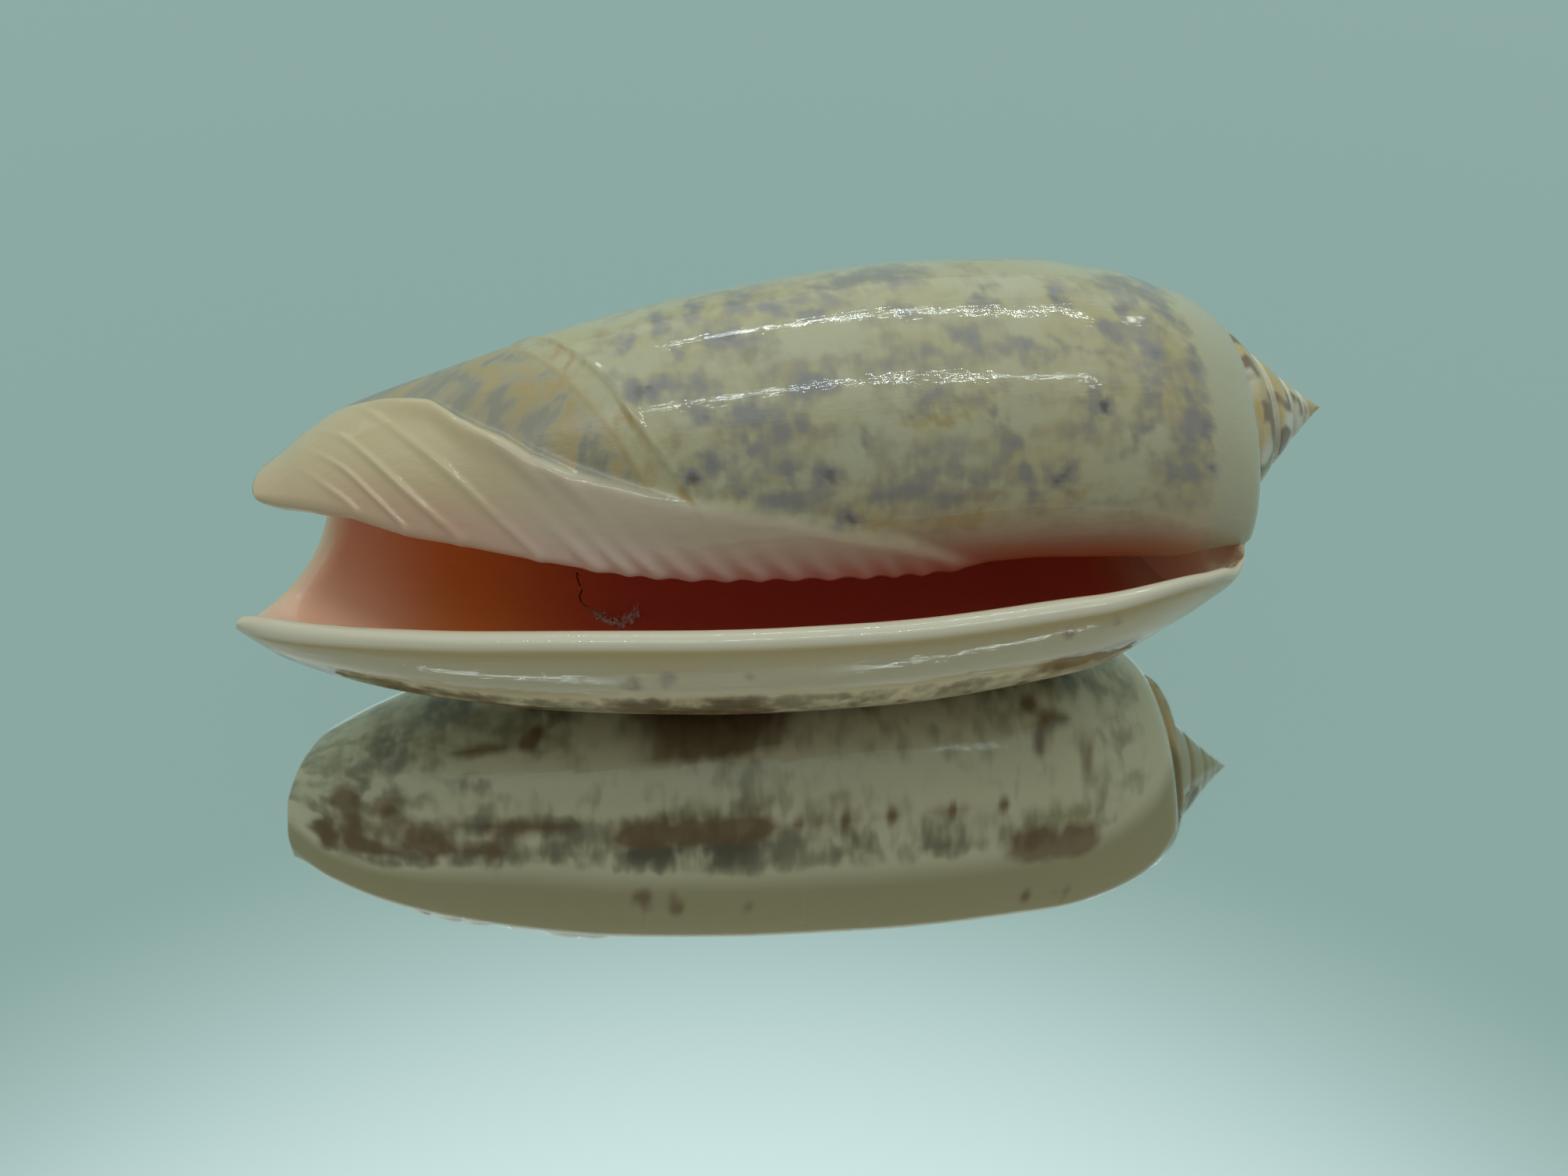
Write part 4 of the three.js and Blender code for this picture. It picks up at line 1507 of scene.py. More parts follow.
    def spire(self, on: Surface, colour: Any) -> Socket:
        """Ochre whorls with brown flames between the pale sutures of the spire.

        Args:
            on: the sheet and the fields of the surface.
            colour: the colour of what is drawn so far.

        Returns:
            The colour with this part over it.
        """
        sheet, c = on.sheet, self.colours
        place = sheet.add("ShaderNodeTexCoord").outputs["Object"]

        def flames(scale: Colour, span: Span) -> Socket:
            """Soft mask of the given lumps per metre."""
            scaled = sheet.add("ShaderNodeVectorMath", {0: place, 1: scale},
                               operation="MULTIPLY").outputs["Vector"]
            return sheet.rise(sheet.noise(scaled, detail=1.0), *span)

        ochre = flames(self.ochre_flames, self.ochre_flames_from)
        whorl = sheet.mix(ochre, c.spire_cream, c.spire_ochre)
        brown = flames(self.brown_flames, self.brown_flames_from)
        whorl = sheet.mix(sheet.times(brown, self.brown_flames_share), whorl, c.spire_brown)
        pale = sheet.times(on.within(self.sutures), self.suture_share)
        return on.over(colour, sheet.mix(pale, whorl, c.spire_cream), self.spire_start)

    def band(self, on: Surface, colour: Any) -> Socket:
        """Siphonal band with its cross streaks.

        Args:
            on: the sheet and the fields of the surface.
            colour: the colour of what is drawn so far.

        Returns:
            The colour with this part over it.
        """
        sheet, at, c = on.sheet, on.at, self.colours
        made = sheet.group(BandStreaks().group(), {
            "Along": at["along"], "Growth": at["growth"], "Band": at["band"],
            "Callus": at["callus"]})
        inner = sheet.mix(sheet.times(made["Ochre"], self.band_ochre_share), c.band, c.band_ochre)
        inner = sheet.mix(sheet.times(made["Grey"], self.band_grey_share), inner, c.band_grey)
        return sheet.mix(made["Mask"], colour, inner)

    def callus(self, on: Surface, colour: Any) -> Socket:
        """Pale callus and fasciole, rose to pink and then brown toward the folded edge; the rose is
        painted shade and the pink is partly painted reflection.

        Args:
            on: the sheet and the fields of the surface.
            colour: the colour of what is drawn so far.

        Returns:
            The colour with this part over it.
        """
        c = self.colours
        # Rose painted shade at the front, then pink that is partly painted reflection of the hollow.
        edge = on.over(c.rose_painted_shade, c.pink_and_painted_reflection, self.pink_edge)
        edge = on.over(edge, c.edge_brown, self.brown_edge)
        pale = on.over(on.over(c.callus, c.fasciole, self.fasciole), edge, *self.fold_edge)
        covered = on.sheet.most(on.within(self.on_callus), on.within(*self.rear_of_callus))
        return on.sheet.mix(on.sheet.times(covered, on.within(self.callus_end)), colour, pale)

    def lip(self, on: Surface, colour: Any) -> Socket:
        """Plain cream beside the lip with a few brown spots, whiter on its very edge.

        Args:
            on: the sheet and the fields of the surface.
            colour: the colour of what is drawn so far.

        Returns:
            The colour with this part over it.
        """
        c = self.colours
        colour = on.over(colour, c.lip, self.beside_lip)
        spots = on.sheet.times(on.within(self.brown_marks, self.beside_lip), self.lip_brown_share)
        colour = on.sheet.mix(spots, colour, c.under_brown)
        return on.over(colour, c.edge, self.lip_edge)

    def hollow(self, on: Surface, colour: Any) -> Socket:
        """Salmon to deep red inside, pale at the rear end and cream along the rim; the salmon and
        orange are lightened as painted light, and the pale rear end is painted light.

        Args:
            on: the sheet and the fields of the surface.
            colour: the colour of what is drawn so far.

        Returns:
            The colour with this part over it.
        """
        c = self.colours
        # Salmon and orange near the siphon carry painted light as well as their own colour.
        deep = on.over(c.salmon_and_painted_light, c.orange_and_painted_light, self.orange_hollow)
        deep = on.over(deep, c.red, self.red_hollow)
        deep = on.over(deep, c.rear, self.rear_hollow)
        # Painted light: the shaded rear end of the hollow is coloured pale.
        deep = on.over(deep, c.rear_pale_painted_light, self.rear_painted_light_hollow)
        return on.over(colour, on.over(c.siphon_rim, deep, self.behind_rim), self.inside)


def geometry_group(name: str, inputs: Sockets) -> tuple[Sheet, Node, Node]:
    """An empty geometry group that takes a geometry and more inputs, and gives a geometry."""
    geometry = {SocketKind.GEOMETRY: ("Geometry",)}
    return node_group(name, "GeometryNodeTree", {**geometry, **inputs}, geometry)


def dress(sheet: Sheet, geometry: Any, given: Node,
          result: Node) -> Tree:
    """Ends a geometry node tree: its instances become real and take the given material."""
    real = sheet.add("GeometryNodeRealizeInstances", {"Geometry": geometry})
    dressed = sheet.add("GeometryNodeSetMaterial", {
        "Geometry": real.outputs["Geometry"], "Material": given.outputs["Material"]})
    return feed(result, {"Geometry": dressed.outputs["Geometry"]})


def fold_ribs() -> Tree:
    """Geometry nodes that raise the folds of the columella and the fine growth lines."""
    front_folds, rear_sharpness = (3.9, 3.3), 1.2
    line_stretch, line_detail = 0.2, 1.5
    lines_end, lines_from_rim = (38.5, 36.0), (0.5, 2.0)
    sheet, given, result = geometry_group("Columella folds", {
        SocketKind.VALUE: ("Fold Height", "Fold Sharpness", "Line Height", "Line Spacing", "Seed"),
        SocketKind.MATERIAL: ("Material",)})

    def read(name: str, kind: str = "FLOAT") -> Socket:
        """Value of a vertex attribute."""
        return sheet.add("GeometryNodeInputNamedAttribute", {"Name": name},
                         data_type=kind).outputs["Attribute"]

    phase = sheet.times(read("fold_place"), 2 * math.pi)
    wave = sheet.plus(sheet.times(sheet.math("COSINE", phase), 0.5), 0.5)
    front = sheet.rise(read("fold_place"), *front_folds)
    power = sheet.plus(sheet.times(front, given.outputs["Fold Sharpness"]), rear_sharpness)
    crest = sheet.math("POWER", wave, power)
    folds = sheet.times(given.outputs["Fold Height"], read("fold_strength"), crest)
    around = sheet.math("DIVIDE", read("growth"), given.outputs["Line Spacing"])
    along = sheet.times(read("along"), line_stretch)
    uneven = sheet.noise(sheet.vector(along, around, given.outputs["Seed"]), line_detail)
    body = sheet.times(sheet.rise(read("along"), *lines_end),
                       sheet.rise(read("rim"), *lines_from_rim))
    lines = sheet.times(given.outputs["Line Height"], sheet.plus(uneven, -0.5), body)
    offset = sheet.add("ShaderNodeVectorMath", {
        0: read("outward", "FLOAT_VECTOR"), "Scale": sheet.times(sheet.plus(folds, lines), MM)},
        operation="SCALE")
    moved = sheet.add("GeometryNodeSetPosition", {
        "Geometry": given.outputs["Geometry"], "Offset": offset.outputs["Vector"]})
    return dress(sheet, moved.outputs["Geometry"], given, result)


def apply_nodes(piece: bpy.types.Object, tree: Tree,
                values: dict[str, Any]) -> None:
    """Runs a geometry node tree on piece and keeps the result as its plain mesh.

    Args:
        piece: the object to change.
        tree: the node tree.
        values: input name and value, set by each socket's identifier.
    """
    modifier = piece.modifiers.new(tree.name, "NODES")
    modifier.node_group = tree
    identifiers = {item.name: item.identifier for item in tree.interface.items_tree
                   if item.in_out == "INPUT"}
    for name, value in values.items():
        modifier[identifiers[name]] = value
    graph = bpy.context.evaluated_depsgraph_get()
    made = bpy.data.meshes.new_from_object(
        piece.evaluated_get(graph), preserve_all_data_layers=True, depsgraph=graph)
    piece.modifiers.remove(modifier)
    made.name = piece.name
    piece.data = made


def new_object(name: str, mesh: bpy.types.Mesh) -> bpy.types.Object:
    """Links a mesh into the scene as an object at the origin."""
    made = bpy.data.objects.new(name, mesh)
    bpy.context.scene.collection.objects.link(made)
    return made


@dataclass
class OliveShell:
    """The shell itself, one piece that stands for the solid."""

    form: GrowthForm
    marks: tuple[Mark, ...]
    fold_height: float = 0.13
    fold_sharpness: float = 9.0
    line_height: float = 0.02
    line_spacing: float = 0.5
    seed: float = 4.0
    start: Array | None = None

    def build(self) -> bpy.types.Object:
        """Builds the surface, raises its folds and dresses it."""
        mesh, self.start = ShellSurface(self.form, self.marks).mesh("shell_surface")
        piece = new_object("shell_surface", mesh)
        apply_nodes(piece, fold_ribs(), {
            "Fold Height": self.fold_height, "Fold Sharpness": self.fold_sharpness,
            "Line Height": self.line_height, "Line Spacing": self.line_spacing,
            "Seed": self.seed,
            "Material": ShellGlaze().material()})
        self.flatten_rest(piece.data)
        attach(piece, BODY)
        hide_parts(NODE)
        return piece

    @staticmethod
    def flatten_rest(mesh: bpy.types.Mesh) -> None:
        """Presses the lowest part of the shell flat, where it rests."""
        places = np.zeros(len(mesh.vertices) * 3, np.float32)
        mesh.vertices.foreach_get("co", places)
        places = places.reshape(-1, 3)
        places[:, 2] = np.maximum(places[:, 2], 0)
        mesh.vertices.foreach_set("co", places.reshape(-1))
        mesh.update()


@dataclass(frozen=True)
class DustFinish:
    """Dull dirt, nearly black along the bare thread and grey where it has gathered fluff."""

    thread: Colour = (0.055, 0.030, 0.022)
    fluff: Colour = (0.85, 0.79, 0.72)
    greying: Span = (0.3, 0.7)
    roughness: float = 0.95

    def material(self) -> bpy.types.Material:
        """Builds the material."""
        made, sheet = new_material("dust")
        colour = sheet.mix(sheet.rise(sheet.attribute("place"), *self.greying), self.thread, self.fluff)
        shader = sheet.add("ShaderNodeBsdfPrincipled", {
            "Base Color": colour, "Roughness": self.roughness, "Specular IOR Level": 0.1})
        sheet.add("ShaderNodeOutputMaterial", {"Surface": shader.outputs["BSDF"]})
        return made


def dust_strands() -> Tree:
    """Geometry nodes that turn a line of edges into a thread with fluff and grains on it."""
    sides, grain_rounds, size_spread = 6, 2, 0.45
    hair_middle, hair_end, hair_thickness = (0.5, 0.45), (1.0, 0.3), 0.35
    sheet, given, result = geometry_group("Dust strands", {
        SocketKind.VALUE: ("Step", "Thickness", "Waviness", "Fluff Start", "Fluff Spread",
                           "Hair Length", "Grain Radius"),
        SocketKind.COUNT: ("Hairs Per Step", "Grains Per Step", "Seed"),
        SocketKind.MATERIAL: ("Material",)})
    value = given.outputs

    def random_vector(reach: Any, seed: int) -> Socket:
        """Random vector of up to reach either way, another one at every point."""
        node = sheet.add("FunctionNodeRandomValue", {
            0: (-1.0, -1.0, -1.0), 1: (1.0, 1.0, 1.0), "Seed": sheet.math("ADD", value["Seed"], seed)},
            data_type="FLOAT_VECTOR")
        scaled = sheet.add("ShaderNodeVectorMath", {0: node.outputs[0], "Scale": reach},
                           operation="SCALE")
        return scaled.outputs["Vector"]

    def tube(curve: Any, radius: Any) -> Socket:
        """Thin tube along a curve."""
        ring = sheet.add("GeometryNodeCurvePrimitiveCircle", {"Resolution": sides, "Radius": radius})
        return sheet.add("GeometryNodeCurveToMesh", {
            "Curve": curve, "Profile Curve": ring.outputs["Curve"], "Fill Caps": True}).outputs["Mesh"]

    def scattered(per_step: Any, thing: Any, seed: int) -> Socket:
        """Copies of a thing around the part of the thread that carries fluff."""
        several = sheet.add("GeometryNodeDuplicateElements", {
            "Geometry": marked, "Selection": on_fluff, "Amount": per_step}, domain="POINT")
        moved = sheet.add("GeometryNodeSetPosition", {
            "Geometry": several.outputs["Geometry"],
            "Offset": random_vector(value["Fluff Spread"], seed)})
        return sheet.add("GeometryNodeInstanceOnPoints", {
            "Points": moved.outputs["Geometry"], "Instance": thing,
            "Rotation": random_vector(math.pi, seed + 1),
            "Scale": sheet.add("ShaderNodeVectorMath", {
                0: random_vector(size_spread, seed + 2), 1: (1.0, 1.0, 1.0)},
                operation="ADD").outputs["Vector"]}).outputs["Instances"]

    curve = sheet.add("GeometryNodeMeshToCurve", {"Mesh": value["Geometry"]}).outputs["Curve"]
    even = sheet.add("GeometryNodeResampleCurve", {"Curve": curve, "Length": value["Step"]},
                     mode="LENGTH").outputs["Curve"]
    wavy = sheet.add("GeometryNodeSetPosition", {
        "Geometry": even, "Offset": random_vector(value["Waviness"], 1)}).outputs["Geometry"]
    share = sheet.add("GeometryNodeSplineParameter").outputs["Factor"]
    marked = sheet.add("GeometryNodeStoreNamedAttribute", {
        "Geometry": wavy, "Name": "place", "Value": share},
        data_type="FLOAT", domain="POINT").outputs["Geometry"]
    on_fluff = sheet.math("GREATER_THAN", share, value["Fluff Start"])
    thread = tube(marked, value["Thickness"])
    bend = sheet.add("GeometryNodeCurveQuadraticBezier", {
        "Resolution": sides, "Start": (0.0, 0.0, 0.0)})
    length = value["Hair Length"]
    feed(bend, {
        "Middle": sheet.vector(*(sheet.times(length, share) for share in hair_middle), 0.0),
        "End": sheet.vector(sheet.times(length, hair_end[0]), 0.0, sheet.times(length, hair_end[1]))})
    hair = tube(bend.outputs["Curve"], sheet.times(value["Thickness"], hair_thickness))
    grain = sheet.add("GeometryNodeMeshIcoSphere", {
        "Radius": value["Grain Radius"], "Subdivisions": grain_rounds}).outputs["Mesh"]
    joined = sheet.add("GeometryNodeJoinGeometry")
    for part in (thread, scattered(value["Hairs Per Step"], hair, 20),
                 scattered(value["Grains Per Step"], grain, 40)):
        sheet.tree.links.new(part, joined.inputs["Geometry"])
    return dress(sheet, joined.outputs["Geometry"], given, result)


@dataclass(frozen=True)
class DustThread:
    """A thread of dirt with grey fluff, lying on the inner side of the wall behind the lip.

    Its path is a row of stations in mm and growth turns, and its fluff starts at a share of the
    way along it. Lengths in mm.
    """

    form: GrowthForm
    path: Points = (
        (13.41, 0.322), (13.54, 0.3205), (13.4, 0.319), (13.53, 0.3175), (13.42, 0.316),
        (13.5, 0.312), (13.6, 0.301), (13.45, 0.291), (13.6, 0.283),
        (14.0, 0.273), (14.45, 0.263), (14.95, 0.2565), (15.35, 0.261), (15.65, 0.2655),
        (15.8, 0.270),
    )
    above_wall: float = 0.06
    wall_growth_turns: Span = (0, 0.52)
    step: float = 0.09
    thickness: float = 0.032
    waviness: float = 0.03
    fluff_start: float = 0.55
    fluff_spread: float = 0.15
    hair_length: float = 0.26
    grain_radius: float = 0.05
    hairs_per_step: int = 5
    grains_per_step: int = 6
    seed: int = 6

    def build(self, start: Array) -> bpy.types.Object:
        """Lays the thread along its path and dresses it.

        Args:
            start: place of the siphon end of the shell's axis in the frame, in mm.

        Returns:
            The finished piece.
        """
        station, turn = np.array(self.path).T
        angle = self.form.lip_angle.smooth(station) - FULL_TURN * turn
        grown = self.form.wall_growth_inward * smooth_step(*self.wall_growth_turns, turn)
        wall = self.form.lip_wall * (1 + grown)
        radius = self.form.outer_radius(turn, station) - wall - self.above_wall
        points = (self.form.raised(polar(station, angle, radius)) + start) * MM
        mesh = bpy.data.meshes.new("dust_thread")
        mesh.from_pydata(points.tolist(), [(i, i + 1) for i in range(len(points) - 1)], [])
        piece = new_object("dust_thread", mesh)
        apply_nodes(piece, dust_strands(), {
            "Step": self.step * MM, "Thickness": self.thickness * MM,
            "Waviness": self.waviness * MM, "Fluff Start": self.fluff_start,
            "Fluff Spread": self.fluff_spread * MM, "Hair Length": self.hair_length * MM,
            "Grain Radius": self.grain_radius * MM, "Hairs Per Step": self.hairs_per_step,
            "Grains Per Step": self.grains_per_step, "Seed": self.seed,
            "Material": DustFinish().material()})
        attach(piece, BODY)
        return piece


@dataclass(frozen=True)
class StripLight:
    """A rectangular light that looks straight down, with its place and size in light heights.

    Its centre is along and across the shell, its size is its length and width, and it is turned
    from the shell's length by some degrees.
    """

    name: str
    centre: Span
    size: Span
    turn: float
    watts: float

    def build(self, height: float, colour: Colour) -> bpy.types.Object:
        """Sets the light.

        Args:
            height: its height above the floor, in metres.
            colour: its colour, linear.

        Returns:
            The light.
        """
        data = bpy.data.lights.new(self.name, "AREA")
        data.shape = "RECTANGLE"
        data.size, data.size_y = self.size[0] * height, self.size[1] * height
        data.energy = self.watts
        data.color = colour
        light = bpy.data.objects.new(self.name, data)
        light.location = (self.centre[0] * height, self.centre[1] * height, height)
        light.rotation_euler = (0.0, 0.0, self.turn * DEGREE)
        bpy.context.scene.collection.objects.link(light)
        return light


@dataclass(frozen=True)
class Studio:
    """Plain pale floor, soft light and the camera at the photo's viewing angle. Lengths in mm."""

    camera_from_axis_start: tuple[float, float, float] = (12.76, -52.0, 37.08)
    camera_turn: float = 10.48
    camera_look_down: float = 38.10
    camera_roll: float = -1.365
    lens: float = 36.41
    floor_radius: float = 4000.0
    floor_colour: Colour = (0.775, 0.835, 0.82)
    floor_mirror: float = 0.97
    floor_roughness: float = 0.035
    floor_sides: int = 96
    light_height: float = 2000.0
    front_light: StripLight = StripLight(
        "strip_light_front", (0.075, -0.352), (1.04, 0.006), -16.0, 6.2)
    rear_lights: tuple[StripLight, ...] = (
        StripLight("strip_light_rear", (0.235, 0.58), (0.84, 0.0075), -25.0, 7.5),
        StripLight("soft_light_rear", (0.0, 1.5), (2.0, 1.4), 0.0, 16.0))
    light_colour: Colour = (0.88, 1.0, 1.04)
    air_front: Colour = (0.19, 0.20, 0.19)
    air_rear: Colour = (0.325, 0.465, 0.435)
    air_high: Colour = (0.83, 0.99, 1.0)
    front_to_rear: Span = (-0.6, 0.4)
    low_to_high: Span = (0.70, 0.885)
    sensor: float = 36.0
    clip: Span = (1.0, 20000.0)

    def build(self, axis_start: Array, lit: list[bpy.types.Object]) -> None:
        """Sets the floor, the lights and the camera around the shell.

        Args:
            axis_start: place of the siphon end of the shell's axis, in mm.
            lit: the only objects that the rear lights light, so that the floor has no glare.
        """
        self.floor()
        self.world()
        height = self.light_height * MM
        lit_from_rear = bpy.data.collections.new("lit_from_rear")
        for piece in lit:
            lit_from_rear.objects.link(piece)
        for light in self.rear_lights:
            made = light.build(height, self.light_colour)
            made.light_linking.receiver_collection = lit_from_rear
        self.front_light.build(height, self.light_colour)
        self.camera(axis_start)

    def floor(self) -> None:
        """Round pale floor that mirrors the shell."""
        bpy.ops.mesh.primitive_circle_add(
            vertices=self.floor_sides, radius=self.floor_radius * MM, fill_type="NGON")
        floor = bpy.context.object
        floor.name = "floor"
        material = bpy.data.materials.new("pale_floor")
        material.use_nodes = True
        shader = material.node_tree.nodes["Principled BSDF"]
        shader.inputs["Base Color"].default_value = (*self.floor_colour, 1.0)
        shader.inputs["Metallic"].default_value = self.floor_mirror
        shader.inputs["Roughness"].default_value = self.floor_roughness
        floor.data.materials.append(material)

    def world(self) -> None:
        """Pale light from all around, brightest from right above."""
        world = bpy.data.worlds.new("studio_air")
        world.use_nodes = True
        sheet = Sheet(world.node_tree)
        direction = sheet.add("ShaderNodeTexCoord").outputs["Generated"]
        toward = sheet.add("ShaderNodeSeparateXYZ", {"Vector": direction}).outputs
        colour = sheet.mix(
            sheet.rise(toward["Y"], *self.front_to_rear), self.air_front, self.air_rear)
        colour = sheet.mix(sheet.rise(toward["Z"], *self.low_to_high), colour, self.air_high)
        world.node_tree.links.new(colour, world.node_tree.nodes["Background"].inputs["Color"])
        bpy.context.scene.world = world

    def camera(self, axis_start: Array) -> None:
        """Sets the camera at the photo's place, seen from the siphon end of the shell's axis."""
        data = bpy.data.cameras.new("camera")
        data.sensor_width = self.sensor
        data.lens = self.lens
        data.clip_start, data.clip_end = (distance * MM for distance in self.clip)
        camera = bpy.data.objects.new("camera", data)
        turn, down = self.camera_turn * DEGREE, self.camera_look_down * DEGREE
        ahead = Vector((math.sin(turn) * math.cos(down), math.cos(turn) * math.cos(down),
                        -math.sin(down)))
        right = Vector((math.cos(turn), -math.sin(turn), 0.0))
        up = right.cross(ahead)
        roll = self.camera_roll * DEGREE
        tilted_right = right * math.cos(roll) - up * math.sin(roll)
        tilted_up = up * math.cos(roll) + right * math.sin(roll)
        axes = Matrix((tilted_right, tilted_up, -ahead)).transposed()
        place = Vector(axis_start) + Vector(self.camera_from_axis_start)
        camera.matrix_world = Matrix.Translation(place * MM) @ axes.to_4x4()
        bpy.context.scene.collection.objects.link(camera)
        bpy.context.scene.camera = camera


def marks(pigment: Pigment, side: Side, *places: tuple[float, ...]) -> tuple[Mark, ...]:
    """Markings of one colour and side, each as station, angle, half sizes and strength."""
    return tuple(Mark(pigment, side, *place) for place in places)


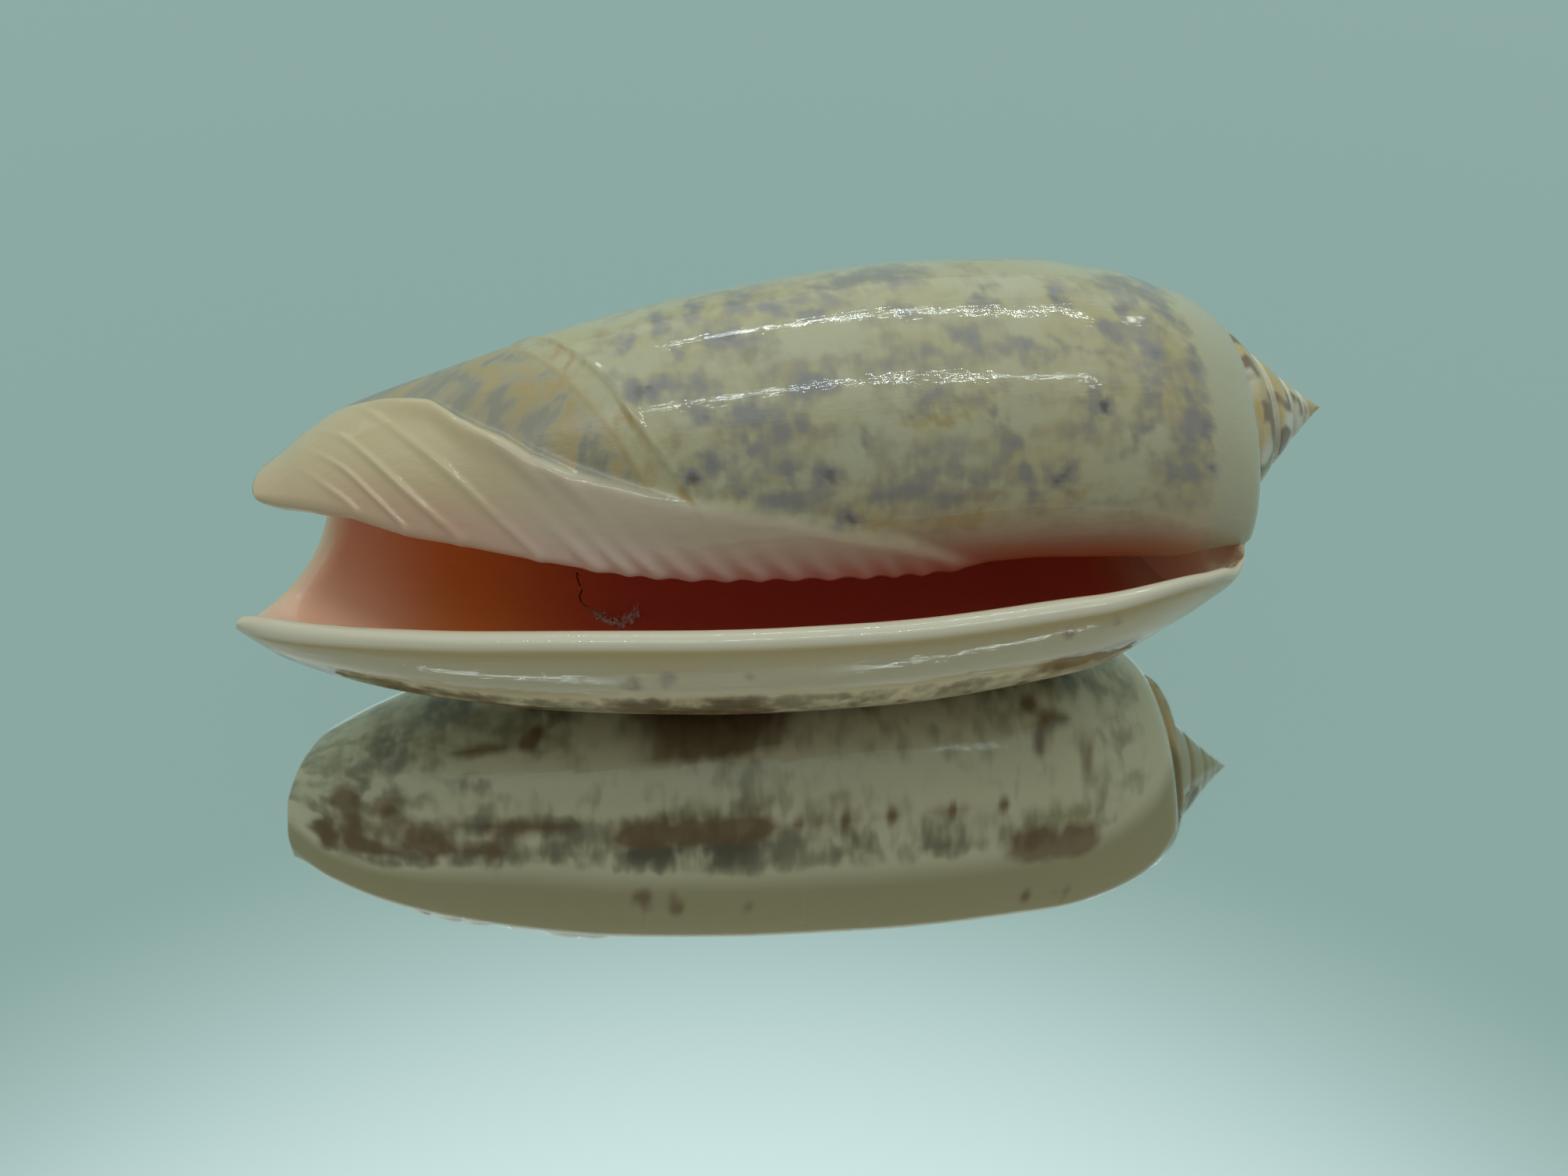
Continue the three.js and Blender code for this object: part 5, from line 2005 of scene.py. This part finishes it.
MARKS: tuple[Mark, ...] = (
    *marks(
        Pigment.GREY, Side.TOP,
        (16.7, 93, 0.5, 5), (17.0, 71, 0.8, 4, 1.3), (20.6, 47, 1.0, 4, 0.9),
        (19.0, 70, 1.1, 4, 0.8), (22.0, 50, 1.0, 4, 0.8), (18.0, 101, 0.4, 7), (18.5, 83, 0.4, 5, 0.8),
        (18.4, 37, 0.6, 4, 1.4), (19.0, 43, 0.45, 6, 1.1), (19.2, 58, 0.4, 4, 1.1),
        (19.3, 107, 0.35, 9), (20.2, 33, 0.5, 4), (20.3, 85, 0.6, 4, 1.2), (20.5, 58, 0.9, 4),
        (21.0, 104, 0.4, 9), (21.5, 27, 0.6, 3, 0.9), (21.9, 35, 0.35, 4), (22.4, 96, 0.5, 4),
        (23.2, 32, 0.5, 5, 1.3), (23.2, 63, 0.9, 3), (23.7, 88, 0.5, 4), (24.1, 15, 0.5, 3.5, 1.4),
        (24.6, 43, 0.3, 4, 0.9), (25.0, 21, 0.4, 4), (25.5, 103, 1.6, 9, 0.8),
        (25.6, 68, 2.2, 4, 0.6), (27.0, 85, 1.0, 4, 0.7), (27.0, 25, 2.4, 9, 0.75),
        (27.0, 105, 1.2, 8, 0.7), (27.7, 52, 1.7, 3.5, 0.9), (29.0, 72, 0.8, 4, 0.7),
        (29.8, 43, 0.35, 4, 1.1), (30.1, 88, 0.5, 3, 0.9), (30.3, 93, 0.4, 6, 1.1),
        (30.2, 35, 0.3, 4, 0.9), (30.7, 25, 0.4, 4, 0.8), (31.1, 15, 0.4, 3, 0.9),
        (31.5, 67, 0.9, 4), (32.0, 21, 0.6, 5, 1.3), (32.7, 67, 0.6, 4), (33.0, 87, 0.35, 5, 1.1),
        (33.2, 43, 0.25, 6, 0.8), (33.7, 46, 0.3, 4.5, 1.5), (34.2, 62, 0.45, 4, 1.2),
        (34.7, 71, 0.5, 5), (35.0, 30, 0.5, 3, 0.9), (35.2, 37, 0.35, 5, 0.9),
        (35.7, 82, 0.6, 5), (35.8, 47, 0.5, 7, 0.9), (36.2, 62, 0.5, 7, 1.1),
        (36.3, 97, 0.9, 6, 0.9), (36.6, 17, 0.8, 4.5, 0.75), (37.0, 28, 0.4, 5, 0.9),
        (37.2, 81, 0.35, 8, 0.9), (37.4, 41, 0.4, 7, 0.9), (37.5, 105, 0.5, 8),
        (37.9, 32, 0.3, 9, 1.1), (38.0, 60, 0.35, 10, 1.2), (38.1, 48, 0.3, 6, 1.1),
        (38.2, 14.5, 0.4, 3, 1.5), (38.0, 74, 0.25, 7, 0.9),
    ),
    *marks(
        Pigment.OCHRE, Side.TOP,
        (16.0, 98, 0.8, 7), (17.9, 52, 0.8, 6, 0.7), (21.2, 77, 0.9, 3, 1.1), (20.0, 98, 0.7, 6),
        (22.7, 22, 1.2, 4, 0.9), (23.6, 48, 1.6, 5, 0.6), (25.8, 76, 2.0, 4, 0.6),
        (27.7, 46.5, 1.7, 2.2, 1.2), (28.5, 18, 1.7, 4, 1.1), (28.2, 8, 1.8, 5, 1.2),
        (29.9, 38, 0.5, 2.5), (31.6, 60, 1.0, 2.5, 0.8), (32.4, 15, 0.9, 4), (33.8, 40, 0.5, 3),
        (34.6, 64, 0.8, 4, 0.7), (36.4, 43, 0.7, 8), (36.9, 70, 0.5, 8, 0.8),
        (25.2, 12, 0.9, 4), (19.7, 30, 0.9, 3, 0.9),
    ),
    *marks(Pigment.BROWN, Side.TOP, (18.5, 36, 0.45, 2.5, 0.5), (24.1, 13.5, 0.4, 2, 0.4)),
    *marks(
        Pigment.GREY, Side.UNDER,
        (15.7, -32, 1.7, 4.5, 1.8), (18.7, -32, 1.7, 4.5, 1.8), (32.8, -23, 2.2, 4, 1.8),
        (5.5, -31, 1.6, 5, 1.1), (8.5, -33, 1.8, 5, 1.2), (11.5, -34, 1.8, 5, 1.1),
        (14.5, -33, 1.6, 4), (17.5, -35, 1.8, 4, 1.1), (20.5, -33, 1.5, 4), (24.0, -32, 1.6, 3.5),
        (27.5, -32, 1.5, 3.5), (31.2, -29, 1.0, 5, 1.1), (33.5, -22, 1.8, 5, 1.2),
        (2.2, -45, 0.5, 16, 1.2), (3.6, -50, 0.5, 20, 1.1), (5.0, -48, 0.4, 12),
        (6.5, -40, 1.0, 5, 1.2), (9.0, -41, 1.4, 4, 1.3), (11.8, -40, 1.4, 4, 1.3),
        (16.0, -40, 1.6, 4, 1.1), (19.0, -40, 1.4, 4, 1.1), (22.0, -75, 1.2, 4, 1.2),
        (25.0, -73, 1.2, 4, 1.1), (28.0, -75, 1.2, 4, 1.2), (31.0, -72, 1.2, 4, 1.1),
        (34.0, -75, 1.3, 4, 1.2), (11.5, -80, 0.8, 5, 1.1), (18.6, -76, 2.6, 7, 1.3),
        (8.5, -57, 0.5, 3, 1.1), (5.0, -75, 0.9, 8), (7.5, -90, 0.8, 8, 1.1),
    ),
    *marks(
        Pigment.OCHRE, Side.UNDER,
        (19.2, -32, 1.2, 2.5, 1.1), (17.5, -42, 2.8, 3.5, 1.1), (33.2, -35, 2.2, 4.5, 1.2),
        (32.0, -32, 1.5, 3), (18.6, -70, 2.8, 4, 1.1), (4.2, -44, 1.5, 14, 0.8),
        (9.0, -44, 2.2, 3, 0.8), (26.0, -80, 4.0, 3, 0.7),
    ),
    *marks(
        Pigment.BROWN, Side.UNDER,
        (15.3, -37.5, 1.4, 3.2, 1.6), (17.2, -37.5, 1.4, 3.2, 1.6), (19.1, -37.5, 1.4, 3.2, 1.6),
        (18.4, -61, 2.9, 3.5, 1.5), (18.4, -69, 3.1, 6, 1.4), (10.9, -69, 0.5, 3, 1.3),
        (31.8, -28.5, 1.2, 3.5, 1.6), (33.6, -28.5, 1.2, 3.5, 1.6), (32.3, -55, 0.5, 2.5, 1.3),
        (4.0, -36, 1.2, 3, 1.3), (6.5, -34, 1.2, 2.5, 1.4), (8.8, -32, 1.3, 2, 1.3),
        (2.2, -42, 0.6, 8, 1.2), (3.0, -58, 0.6, 8, 1.1), (4.8, -52, 1.0, 3, 1.1),
        (32.0, -66, 0.6, 3, 1.1), (3.2, -46, 0.7, 16, 0.9), (6.0, -42, 2.4, 4, 0.8),
        (10.5, -41, 2.2, 3, 0.8), (23.5, -40, 2.6, 2, 0.7), (28.0, -40, 1.8, 2, 0.6),
        (9.0, -68, 1.6, 3, 0.8), (34.5, -50, 0.4, 9, 0.7),
        (15.1, -18, 0.5, 2.6, 1.2), (16.4, -17, 0.45, 2.6, 1.15), (19.3, -15, 0.4, 2.2, 0.7),
        (31.4, -14, 0.45, 2, 0.95), (33.1, -12.5, 0.4, 2, 0.9), (23.6, -32, 0.4, 1.6, 0.8),
        (27.8, -32, 0.35, 1.6, 0.7), (21.5, -39, 0.35, 1.6), (23.4, -39, 0.3, 1.4),
        (25.6, -38, 0.35, 1.6), (27.9, -39, 0.3, 1.4), (30.2, -39, 0.35, 1.6),
        (33.0, -61, 0.7, 3, 1.0), (34.2, -52, 0.25, 7, 0.6), (18.8, -75, 2.2, 4.5, 0.75),
        (9.5, -38, 1.2, 2, 0.6),
    ),
)


def write_sizes() -> None:
    """Updates the view layer."""
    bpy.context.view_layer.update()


def main() -> None:
    """Builds the shell and the studio."""
    logging.basicConfig(level=logging.INFO, format="%(name)s: %(message)s")
    bpy.context.scene.view_settings.view_transform = "Standard"
    shell = OliveShell(GrowthForm(), MARKS)
    piece = shell.build()
    dust = DustThread(shell.form).build(shell.start)
    for made in (piece, dust):
        log.info("%s: %d faces", made.name, len(made.data.polygons))
    Studio().build(shell.start, [piece, dust])
    write_sizes()


if __name__ == "__main__":
    main()
